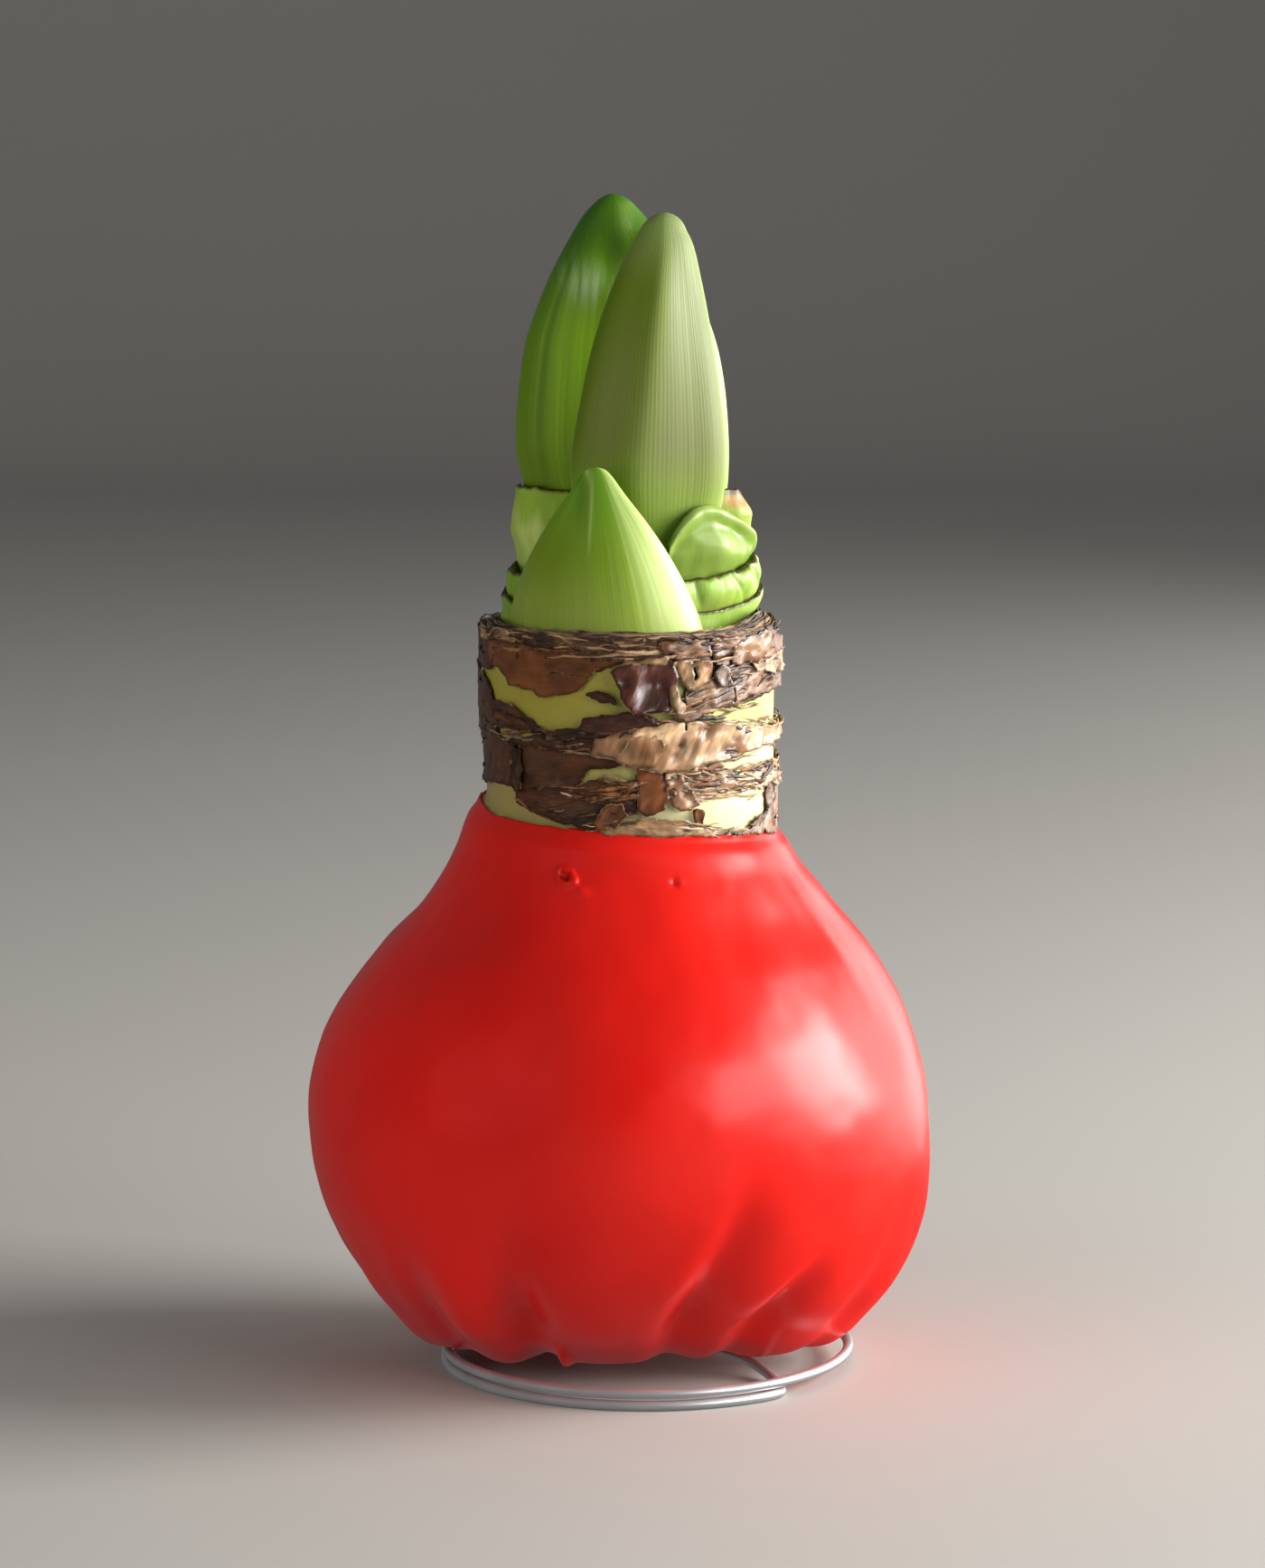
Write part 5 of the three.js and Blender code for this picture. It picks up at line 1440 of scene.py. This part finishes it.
def sheath_oval(z):
    """Middle and half sizes of the leaf sheath at a height."""
    rows = [(WELL_FLOOR, 2, 5.1, 11.8, 4.5), (108, 1.8, 5.1, 12.1, 4.5), (112.6, 1.3, 5.1, 12.6, 4.5),
            (115.5, 0.4, 5.2, 14.7, 4.7), (118.5, 0.4, 5.3, 15, 4.9), (123, 1.2, 5.4, 15.2, 5.1)]
    return np.moveaxis(smoothly(rows, z), -1, 0)


def leaf_sheath():
    """The sheath wraps the back leaf. Its right side is torn, and stands out as a flap. Its left edge rolls
    over."""
    edge = [(-180, 122), (-100, 123), (-60, 123), (0, 122.2), (60, 122.8), (78, 122.6), (92, 121.6),
            (102, 120.4), (125, 121), (180, 122)]
    turn = fine_turn(SHEATH_AROUND, [(85, 18, 1.8), (-80, 16, 1)])
    top = round_edge(edge, turn) + 0.16 * rough(np.degrees(turn) / 6, 0 * turn, 91, 4, 60)

    def shape(turn, z, up):
        right = hump(apart(turn, 84), 26)
        flap = 3.1 * smoothstep(z, 115.3, 116.1) * (1 - 0.8 * smoothstep(z, 118.8, 122.6)) * right
        left = hump(apart(turn, -85), 50) * lerp(3.0, 0, smoothstep(z, 112, 115.8)) * smoothstep(z, 107, 110)
        dents = 0.25 * rough(np.degrees(turn) / 15, z / 5, 93, 2, 24) * smoothstep(z, 108, 112)
        bulge = 0.5 * hump(z - 116.5, 2.6) * hump(apart(turn, -62), 30)
        roll = 0.35 * hump(z - top + 0.3, 0.4) * hump(apart(turn, -60), 45)
        return np.minimum(flap + left + dents + bulge + roll, 3.4)

    def tint(turn, z, below):
        around = np.degrees(turn)
        pale = smoothstep(rough(around / 20, z / 7, 95, 3, 18) + 0.9 * hump(z - 116, 3), -0.3, 1.0)
        shade = tinted("96b83a", "c2d676", pale)
        # Painted shade on the far left side.
        shade = tinted(shade, "64801c", 0.5 * smoothstep(-np.sin(turn), 0.85, 0.98))
        right = hump(apart(turn, 82), 26)
        torn = tinted("4c2817", "c08a5e", smoothstep(below, 0.6, 1.3))
        torn = tinted(torn, "9cb040", smoothstep(below, 2.2, 3.0))
        return tinted(shade, torn, np.clip(1.3 * right, 0, 1))

    return cut_ring(turn, top, sheath_oval, SHEATH_ROWS, shape, tint)


SCALE_EDGE = [(17, 116.0), (21, 118.0), (28, 120.1), (34, 121.0), (41, 121.2), (51, 120.6), (63, 119.3),
              (78, 117.6), (92, 115.6)]
SCALE_LEFT, SCALE_RIGHT = SCALE_EDGE[0][0], SCALE_EDGE[-1][0]
SCALE_INSET, SCALE_THICK = 2.7, 0.8


def folded_scale():
    """A crumpled scale between the bud and the inner leaf base: a bent plate whose top rolls over, with a
    dimple and a bump. Its front and its back are one closed grid: up the outside, over the rolled rim and
    down the inside."""
    degrees = np.linspace(SCALE_LEFT, SCALE_RIGHT, SCALE_ACROSS)[None]
    turn = np.radians(degrees)
    top = smoothly(SCALE_EDGE, degrees)[..., 0]
    up = (1 - (1 - np.linspace(0, 1, SCALE_ROWS)) ** 1.25)[:, None]
    z = lerp(WELL_FLOOR + GAP, top, up)
    below = top - z
    opening = 1.5 * smoothstep(z, 110.5, 115) - 0.5 * smoothstep(z, 118.5, 121)
    bump = 0.6 * hump(degrees - 46, 9) * hump(z - 115.4, 1.5)
    dimple = 0.6 * hump(degrees - 60, 10) * hump(z - 117.4 + 0.09 * (degrees - 60), 1.4)
    dimple = dimple + 0.4 * hump(degrees - 40, 14) * hump(below - 2.6, 1.0)
    fold = 0.15 * hump(degrees - 74 + 2.5 * (z - 115), 6)
    swell = 0.2 * rough(degrees / 12, z / 3, 97, 2)
    rim = 0.4 * hump(below - 0.8, 0.9)
    to_side = np.minimum(degrees - SCALE_LEFT, SCALE_RIGHT - degrees)
    thick = lerp(SCALE_THICK, 1.5, smoothstep(below, 3, 0.8))
    thick = thick * np.sqrt(np.clip(below / 0.9, 0.01, 1)) * np.clip(to_side / 3, 0.05, 1)
    rounding = 0.5 * np.clip(1 - below / 0.6, 0, 1) ** 2
    inset = SCALE_INSET - opening + dimple - bump - swell - rim + fold + rounding
    oval = outer_base_oval(np.minimum(z, 112))
    outside = on_oval(turn, oval, inset, z)
    inside = on_oval(turn, oval, inset + thick, z)
    # Painted shade in the dimple and the fold, and painted highlight on the rolled rim and on the bump.
    painted_hollow_shade = np.clip(1.1 * (dimple + fold) - bump, 0, 1)
    tint = tinted("7f9840", "62821c", painted_hollow_shade)
    tint = tinted(tint, "a0b468", np.clip(0.6 * hump(below - 0.5, 0.7) + 0.6 * bump, 0, 1))
    grain = round_grain(turn, z, BASE_HALF, BASE_DEEP)

    def there_and_back(front, back):
        return np.concatenate([front, back[:, ::-1]], 1)

    grid = there_and_back(outside, inside)
    return spindle(rows_of(grid, there_and_back(tint, tint), there_and_back(grain, grain)))


# ---------------- shoots

LEAF_EDGE = 9.0  # a shoot has no cut edge, so every point of it lies far from one
LEAF_BLUNT, BUD_BLUNT = 1.3, 2.0  # how far below its tip a shoot rounds off


def shoot(turn, rows, section, tint, reach):
    """A closed spindle: section(turn, up) gives the points of each row, whose rows crowd towards the tip.
    reach is the radius at which the grain counts the way round."""
    up = (1 - (1 - np.linspace(0, 0.999, rows)) ** 1.7)[:, None]
    points, shade = section(turn, up), tint(turn, up)
    return spindle(rows_of(points, shade, round_grain(turn, points[..., 2], reach, reach), LEAF_EDGE))


def tapered(rows, z, top, blunt):
    """Sections [z, x, y, half width, half depth] as smooth curves of the height. Within blunt of the tip the
    half sizes fall off like a circle does, so that the tip is round."""
    x, y, half_x, half_y = np.moveaxis(smoothly(rows, z), -1, 0)
    left = np.clip((top - z) / blunt, 0.0005, 1)
    cap = np.sqrt(left * (2 - left))
    return x, y, half_x * cap, half_y * cap


def back_leaf(m):
    """An oval section that widens and narrows with height, with a shallow fold where its two leaves meet."""
    top = m.leaf_top
    rows = [(WELL_FLOOR, 2, 5.1, 10.6, 3.4), (109, 1.9, 5.1, 10.8, 3.5), (122.5, 1, 5.5, 14, 4),
            (127.6, 0.5, 5.6, 14.7, 4.7), (132.5, 0.4, 5.7, 14.6, 4.9), (137.5, 0.4, 5.7, 14.1, 4.9),
            (142.5, 0.3, 5.7, 13.2, 4.8), (147.4, 0.2, 5.7, 11.5, 4.5), (152.4, -0.2, 5.6, 9, 4),
            (157.4, -0.5, 5.5, 6, 3.2), (160.4, -0.7, 5.5, 3.9, 2.3), (162, -0.7, 5.5, 2.4, 1.6),
            (top, -0.7, 5.5, 1.7, 1.2)]

    def section(turn, up):
        z = lerp(WELL_FLOOR + GAP, top, up)
        x, y, half_x, half_y = tapered(rows, z, top, LEAF_BLUNT)
        across = x + half_x * np.sin(turn)
        front = smoothstep(np.cos(turn), 0, 0.3)
        valley = 2.0 * hump(across + 1.4, 3.6) * hump(z - 153.4, 3.8) * front
        crease = 0.4 * hump(across - 2.4, 1.5) * hump(z - 154, 5) * front
        back = 0.8 * hump(apart(turn, 176), 9) * smoothstep(z, 112, 140) * (1 - smoothstep(z, 158, top))
        swell = 0.14 * noise(np.degrees(turn) / 30, z / 18, 301, 12)
        swell = swell * smoothstep(z, 110, 125) * np.minimum(half_x / 6, 1)
        inset = np.minimum(valley + crease + back - swell, 0.5 * half_y)
        return on_oval(turn, (x, y, half_x, half_y), inset, z)

    def tint(turn, up):
        z = lerp(WELL_FLOOR + GAP, top, up)
        x, _, half_x, _ = tapered(rows, z, top, LEAF_BLUNT)
        side = np.sin(turn)
        across = x + half_x * side
        streak = 0.09 * rough(np.degrees(turn) / 5, z / 60, 303, 3, 72)
        # Painted shade on the left edge, and painted light on the pale right margin.
        shade = tinted("5a7c08", "a6dc28", smoothstep(side + streak, -0.9, -0.3))
        shade = tinted(shade, "b5cc7c", smoothstep(side, 0.72, 0.95))
        low = 1 - smoothstep(z, 122, 142)
        shade = tinted(shade, "6f8812", 0.7 * low)
        # Painted shade: the tip, which faces up into the light, is tinted dark.
        tip = smoothstep(z, 142, 160)
        shade = tinted(shade, "245304", 0.92 * tip)
        # A painted highlight: a pale streaky patch on the left of the leaf below the tip.
        gleam = hump(across + 4.2, 2.6) * hump(z - 149.6 + 0.2 * across, 2.4)
        gleam = gleam * np.clip(0.75 + 1.1 * noise(across * 2.2, z / 7, 77), 0, 1)
        shade = tinted(shade, "d2ecb0", 0.75 * (gleam * (np.cos(turn) > 0)))
        fold = hump((across - 1.2) / 1.0, 1.4) * (np.cos(turn) > 0) * smoothstep(z, 154, 160)
        return tinted(shade, "86a44c", 0.4 * (fold * (1 - smoothstep(z, 161, top))))

    return shoot(fine_turn(LEAF_AROUND, [(5, 14, 1.2)]), LEAF_ROWS, section, tint, reach=13)


BUD_RIBS = 106


def flower_bud(m):
    """An oval section with a blunt keel in front and behind, and fine ribs."""
    top = m.bud_top
    rows = [(WELL_FLOOR, 3.9, -3.4, 6.8, 3), (110, 4.1, -3.4, 7.4, 3.2), (118, 4.2, -3.6, 9.3, 3.8),
            (125, 4.1, -4.1, 10.6, 4.6), (136.6, 4.5, -4.3, 9.4, 5), (144.2, 4.8, -4, 7.9, 4.8),
            (151.5, 5.4, -3.6, 5.9, 4), (156.6, 6, -3.3, 4.05, 2.9), (158.6, 6.1, -3.15, 3.0, 2.2),
            (top, 6.3, -3, 2.3, 1.7)]

    def keel_turn(z):
        return lerp(-10, 6, smoothstep(z, 118, 156))

    def section(turn, up):
        z = lerp(WELL_FLOOR + GAP, top, up)
        oval = tapered(rows, z, top, BUD_BLUNT)
        point = on_oval(turn, oval, 0.005 * (1 - np.cos(turn * BUD_RIBS)), z)
        keel = keel_turn(z)
        grown = smoothstep(z, 112, 124)
        ridge = 0.7 * hump(apart(turn, keel), 20) * grown * (1 - smoothstep(z, 148, top - 1))
        flat = 0.4 * (hump(apart(turn, keel - 42), 20) + hump(apart(turn, keel + 42), 20))
        flat = flat * grown * (1 - smoothstep(z, 146, 157))
        behind = 0.5 * hump(apart(turn, 180), 22) * smoothstep(z, 120, 132) * (1 - smoothstep(z, 148, top))
        point[..., 1] += -ridge + flat + behind
        return point

    def tint(turn, up):
        z = lerp(WELL_FLOOR + GAP, top, up)
        from_keel = apart(turn, keel_turn(z))
        # Painted light and shade: the face left of the keel is tinted darker, as in shade, the face right of
        # it lighter, as lit, and a painted highlight runs beside the keel.
        right = smoothstep(from_keel, -8, 14)
        left = tinted("526c00", "607812", smoothstep(from_keel, -80, -30))
        light = tinted("7f8450", "889262", smoothstep(z, 118, 150))
        shade = tinted(left, light, right)
        shade = tinted(shade, "8c9c52", 0.7 * hump(from_keel - 4, 9))
        blush = hump(from_keel + 30, 26) * hump(z - 134, 11)
        shade = tinted(shade, "8a8260", 0.35 * blush)
        stripe = 0.5 + 0.5 * np.cos(turn * BUD_RIBS)
        strong = (0.5 + 0.5 * noise(np.degrees(turn) / 7, z / 40, 321, 90)) * smoothstep(from_keel, -60, 10)
        shade = shade * (1 - 0.3 * stripe * strong * (1 - smoothstep(z, 150, 159)))[..., None]
        shade = tinted(shade, "94bc34", 0.85 * (1 - smoothstep(z, 113, 131)))
        margin = np.maximum(hump(apart(turn, 88), 10), hump(apart(turn, -90), 6))
        shade = tinted(shade, "9fb85e", 0.6 * margin)
        return tinted(shade, "84965f", 0.5 * smoothstep(z, 150, 159))

    return shoot(fine_turn(BUD_AROUND, [(0, 60, 1.2)]), BUD_ROWS, section, tint, reach=9)


def front_shoot(m):
    """A section bent round the inside of the neck's front wall: its half width and depth fall to nothing at
    the tip as powers of the height, and it leans back. A seam runs down from the tip, where one leaf lies
    over the other."""
    top = m.front_top - 0.6

    def seam_x(z):
        return -4.2 + 0.5 * smoothstep(z, 114, 125)

    def section(turn, up):
        z = lerp(WELL_FLOOR + GAP, top, up)
        grown = np.clip((z - m.neck_top) / (top - m.neck_top), 0, 1)
        left = top - z
        blunt = 0.065 * (1 - np.exp(-left / 0.12)) * hump(left, 2.6)
        narrow = np.maximum((1 - grown ** 1.5) ** 0.87 + blunt, 0.003)
        x = -1.5 - 1.5 * grown ** 0.6 + FRONT_HALF * narrow * np.sin(turn)
        arc = FRONT_ARC - np.sqrt(FRONT_ARC ** 2 - (x - NECK_X) ** 2)
        deep = FRONT_DEEP * narrow ** 0.8
        y = -FRONT_ARC + 4.2 * grown ** 1.5 + arc + deep / 2 * (1 - np.cos(turn))
        facing = smoothstep(np.cos(turn), 0.1, 0.4)
        seam = smoothstep(z, 114, 119) * (1 - smoothstep(z, 126.4, top)) * facing
        step = 0.16 * smoothstep(x - seam_x(z), -0.25, 0.2) * np.exp(-np.maximum(x - seam_x(z), 0) / 2.4)
        groove = 0.12 * hump(x - seam_x(z) + 0.35, 0.3)
        swell = 0.14 * noise(np.degrees(turn) / 20, z / 12, 311, 18) * facing * smoothstep(z, 104, 108)
        y = y - seam * (step - groove) - swell * np.minimum(1, narrow * 3)
        return np.stack([x, y, z + 0 * turn], -1)

    def tint(turn, up):
        z = lerp(WELL_FLOOR + GAP, top, up)
        side = np.sin(turn) + 0.14 * rough(np.degrees(turn) / 4, z / 50, 313, 3, 90)
        # Painted shade on the left half and a painted highlight in the pale band on the right.
        shade = tinted("6c8410", "7b9a1a", smoothstep(side, -0.6, 0.2))
        shade = tinted(shade, "cadd88", smoothstep(side, 0.15, 0.75))
        low = 1 - smoothstep(z, 104, 116)
        shade = tinted(shade, "a3b354", 0.6 * low)
        tip = smoothstep(z, 112, 125)
        shade = tinted(shade, "5f8f1a", 0.8 * (tip * (1 - 0.8 * smoothstep(side, 0.3, 0.7))))
        grown = np.clip((z - m.neck_top) / (top - m.neck_top), 0, 1)
        x = -1.5 - 1.5 * grown ** 0.6 + FRONT_HALF * (1 - grown ** 1.5) ** 0.87 * np.sin(turn)
        seam = hump(x - seam_x(z) - 0.15, 0.3) * smoothstep(z, 113, 119) * (np.cos(turn) > 0)
        shadow = hump(x - seam_x(z) + 1.0, 0.9) * smoothstep(z, 116, 122)
        shade = tinted(shade, "3f6010", 0.5 * shadow)
        return tinted(shade, "a9c463", 0.6 * seam)

    return shoot(fine_turn(SHOOT_AROUND, [(-2, 14, 2.2)]), SHOOT_ROWS, section, tint, reach=12)


# ---------------- stage

# A light's name, place, size, power and tone, and whether it shows in the gloss of the pieces.
DAYLIGHT, SKYLIGHT, LAMPLIGHT = (1.0, 0.99, 0.97), (0.96, 0.98, 1.0), (1.0, 0.8, 0.6)
LIGHTS = (
    ("Window", (0.766, -0.038, 0.295), (0.5, 0.45), 15, DAYLIGHT, True),
    ("Side window", (0.766, 0.643, 0.15), (0.9, 0.6), 5, DAYLIGHT, True),
    ("Fill", (-0.76, -0.64, 0.42), (0.8, 0.8), 3.1, SKYLIGHT, False),
    ("Wing", (0.62, -0.52, 0.3), (0.42, 0.34), 2.8, DAYLIGHT, True),
    ("Low lamp", (-0.6, -0.42, 0.05), (0.3, 0.2), 0.9, LAMPLIGHT, False),
)
LIGHTS_AIM = (0, 0, 0.08)
ROOM_STRENGTH, ROOM_TONE = 0.12, (0.95, 0.97, 1.0)
FLOOR_HALF, FLOOR_FRONT, WALL_TOP = 4.0, -3.0, 3.0
BEND_START, BEND_RADIUS, BEND_STEPS = 1.6, 0.8, 24
CAMERA_DISTANCE = 0.68
CAMERA_ELEVATION = math.radians(7.8)
CAMERA_AIM = (0.00194, 0.0, 0.082)
CAMERA_CLIP = (0.01, 20)
LONG_SIDE, FOCAL_PIXELS, SENSOR = 1735, 5440, 36.0


def aim(thing, target):
    direction = Vector(target) - thing.location
    thing.rotation_euler = direction.to_track_quat("-Z", "Y").to_euler()


def add_light(name, place, size, power, tone, gleams):
    """A soft square light. One that doesn't gleam lights the piece without showing in its gloss."""
    light = bpy.data.lights.new(name, "AREA")
    light.shape = "RECTANGLE"
    light.size, light.size_y = size
    light.energy = power
    light.color = tone
    lamp = bpy.data.objects.new(name, light)
    bpy.context.scene.collection.objects.link(lamp)
    lamp.location = place
    lamp.visible_glossy = gleams
    aim(lamp, LIGHTS_AIM)


def add_camera():
    data = bpy.data.cameras.new("Camera")
    data.sensor_width = SENSOR
    data.lens = SENSOR * FOCAL_PIXELS / LONG_SIDE
    data.clip_start, data.clip_end = CAMERA_CLIP
    camera = bpy.data.objects.new("Camera", data)
    bpy.context.scene.collection.objects.link(camera)
    x, y, z = CAMERA_AIM
    camera.location = (x, y - CAMERA_DISTANCE * math.cos(CAMERA_ELEVATION),
                       z + CAMERA_DISTANCE * math.sin(CAMERA_ELEVATION))
    aim(camera, CAMERA_AIM)
    bpy.context.scene.camera = camera


def add_floor(material):
    """A flat floor that rises behind in a quarter circle: a profile of (y, z), drawn out along x."""
    turn = np.linspace(0, np.pi / 2, BEND_STEPS)
    back = BEND_START + BEND_RADIUS * np.sin(turn)
    bend = np.column_stack([back, BEND_RADIUS - BEND_RADIUS * np.cos(turn)])
    profile = np.vstack([[FLOOR_FRONT, 0], bend, [BEND_START + BEND_RADIUS, WALL_TOP]])
    x = np.array([-FLOOR_HALF, FLOOR_HALF])
    points = np.stack([np.repeat(x, len(profile)), np.tile(profile[:, 0], 2), np.tile(profile[:, 1], 2)], -1)
    count = len(profile)
    i = np.arange(count - 1)
    faces = np.stack([i, i + count, i + count + 1, i + 1], -1)
    mesh = bpy.data.meshes.new("floor")
    mesh.from_pydata(points.tolist(), [], faces.tolist())
    mesh.polygons.foreach_set("use_smooth", np.ones(len(faces), bool))
    mesh.materials.append(material)
    floor = bpy.data.objects.new("floor", mesh)
    bpy.context.scene.collection.objects.link(floor)
    floor.visible_glossy = False


def set_world():
    world = bpy.data.worlds.new("Soft room")
    world.use_nodes = True
    background = world.node_tree.nodes["Background"]
    background.inputs["Color"].default_value = (*ROOM_TONE, 1)
    background.inputs["Strength"].default_value = ROOM_STRENGTH
    bpy.context.scene.world = world


# ---------------- operators

class WAXEDBULB_OT_wire_stand(bpy.types.Operator):
    """Bend the wire stand: a coil, a spoke and a spike"""
    bl_idname = "waxedbulb.wire_stand"
    bl_label = "Wire stand"

    def execute(self, context):
        colours = context.scene.waxed_bulb_colours
        make_piece(wire_stand(measures(context)), "wire", wire_material(colours), ["wire_stand"])
        return {"FINISHED"}


class WAXEDBULB_OT_wax_coat(bpy.types.Operator):
    """Dip the bulb in wax"""
    bl_idname = "waxedbulb.wax_coat"
    bl_label = "Wax coat"

    def execute(self, context):
        colours = context.scene.waxed_bulb_colours
        make_piece(wax_coat(measures(context)), "wax", wax_material(colours), ["wax_coat"])
        return {"FINISHED"}


class WAXEDBULB_OT_bulb(bpy.types.Operator):
    """Grow the bulb with its bare neck and cut top"""
    bl_idname = "waxedbulb.bulb"
    bl_label = "Bulb"

    def execute(self, context):
        make_piece(bulb(measures(context)), "bulb_body", flesh_material(), ["bulb"])
        return {"FINISHED"}


# The name of each piece of skin, the solid that it stands for and the function that makes it.
SKINS = (("skins_rim", "rim_skin", rim_skins), ("skins_middle", "middle_skin", middle_skins),
         ("skins_lower", "lower_skin", lower_skins), ("skins_foot", "foot_skin", foot_skins),
         ("skin_flap", "torn_flap", torn_flap))


class WAXEDBULB_OT_dry_skins(bpy.types.Operator):
    """Lay the torn dry skins round the neck"""
    bl_idname = "waxedbulb.dry_skins"
    bl_label = "Dry skins"

    def execute(self, context):
        m = measures(context)
        material = dry_skin_material()
        for name, node, make in SKINS:
            make_piece(make(m), name, material, [node])
        return {"FINISHED"}


class WAXEDBULB_OT_leaf_bases(bpy.types.Operator):
    """Set the cut leaf bases, the sheath and the folded scale in the neck"""
    bl_idname = "waxedbulb.leaf_bases"
    bl_label = "Leaf bases"

    def execute(self, context):
        material = leaf_material("Cut leaf base", (srgb("6f8a24"), 0.2), (srgb("3a2012"), 0.7),
                                 roughness=0.28, relief=0.01)
        scale = leaf_material("Folded scale", (srgb("7f9e38"), 0.12), (srgb("6f8a2c"), 0.0),
                              roughness=0.26, relief=0.006)
        make_piece(outer_leaf_base(), "base_outer", material, ["outer_leaf_base"])
        make_piece(inner_leaf_base(), "base_inner", material, ["inner_leaf_base"])
        make_piece(leaf_sheath(), "sheath", material, ["leaf_sheath"])
        make_piece(folded_scale(), "scale_folded", scale, ["folded_scale"])
        return {"FINISHED"}


class WAXEDBULB_OT_leaves(bpy.types.Operator):
    """Grow the front shoot and the back leaf"""
    bl_idname = "waxedbulb.leaves"
    bl_label = "Leaf shoots"

    def execute(self, context):
        m = measures(context)
        glossy = leaf_material("Glossy leaf", (srgb("3f6a08"), 0.22), (srgb("2f7a0a"), 0.0),
                               roughness=0.24, relief=0.012, gleam=0.2)
        pale = leaf_material("Young leaf", (srgb("5c8412"), 0.18), (srgb("6fa021"), 0.0),
                             roughness=0.3, relief=0.01, gleam=0.1)
        make_piece(back_leaf(m), "leaf_back", glossy, ["back_leaf"])
        make_piece(front_shoot(m), "shoot_front", pale, ["front_shoot"])
        return {"FINISHED"}


class WAXEDBULB_OT_flower_bud(bpy.types.Operator):
    """Grow the flower bud"""
    bl_idname = "waxedbulb.flower_bud"
    bl_label = "Flower bud"

    def execute(self, context):
        m = measures(context)
        striped = leaf_material("Striped bud", (srgb("5d6a2a"), 0.13), (srgb("5f7030"), 0.0),
                                roughness=0.46, relief=0.012, shine=0.28)
        make_piece(flower_bud(m), "bud_flower", striped, ["flower_bud"])
        return {"FINISHED"}


class WAXEDBULB_OT_stage(bpy.types.Operator):
    """Set up the floor, the light and the camera"""
    bl_idname = "waxedbulb.stage"
    bl_label = "Stage"

    def execute(self, context):
        add_floor(floor_material(context.scene.waxed_bulb_colours))
        set_world()
        for light in LIGHTS:
            add_light(*light)
        add_camera()
        context.scene.view_settings.view_transform = "Standard"
        return {"FINISHED"}


class WAXEDBULB_PT_panel(bpy.types.Panel):
    bl_label = "Waxed bulb"
    bl_space_type = "VIEW_3D"
    bl_region_type = "UI"
    bl_category = "Waxed Bulb"

    def draw(self, context):
        for operator in OPERATORS:
            self.layout.operator(operator.bl_idname)
        for group in (context.scene.waxed_bulb_sizes, context.scene.waxed_bulb_colours):
            for name in type(group).__annotations__:
                self.layout.prop(group, name)


OPERATORS = (WAXEDBULB_OT_wire_stand, WAXEDBULB_OT_wax_coat, WAXEDBULB_OT_bulb, WAXEDBULB_OT_dry_skins,
             WAXEDBULB_OT_leaf_bases, WAXEDBULB_OT_leaves, WAXEDBULB_OT_flower_bud, WAXEDBULB_OT_stage)
CLASSES = (WaxedBulbSizes, WaxedBulbColours, *OPERATORS, WAXEDBULB_PT_panel)


def register():
    for cls in CLASSES:
        bpy.utils.register_class(cls)
    bpy.types.Scene.waxed_bulb_sizes = bpy.props.PointerProperty(type=WaxedBulbSizes)
    bpy.types.Scene.waxed_bulb_colours = bpy.props.PointerProperty(type=WaxedBulbColours)


def unregister():
    del bpy.types.Scene.waxed_bulb_colours
    del bpy.types.Scene.waxed_bulb_sizes
    for cls in reversed(CLASSES):
        bpy.utils.unregister_class(cls)


def main():
    register()
    for operator in OPERATORS:
        getattr(bpy.ops.waxedbulb, operator.bl_idname.split(".")[1])()


if __name__ == "__main__":
    main()
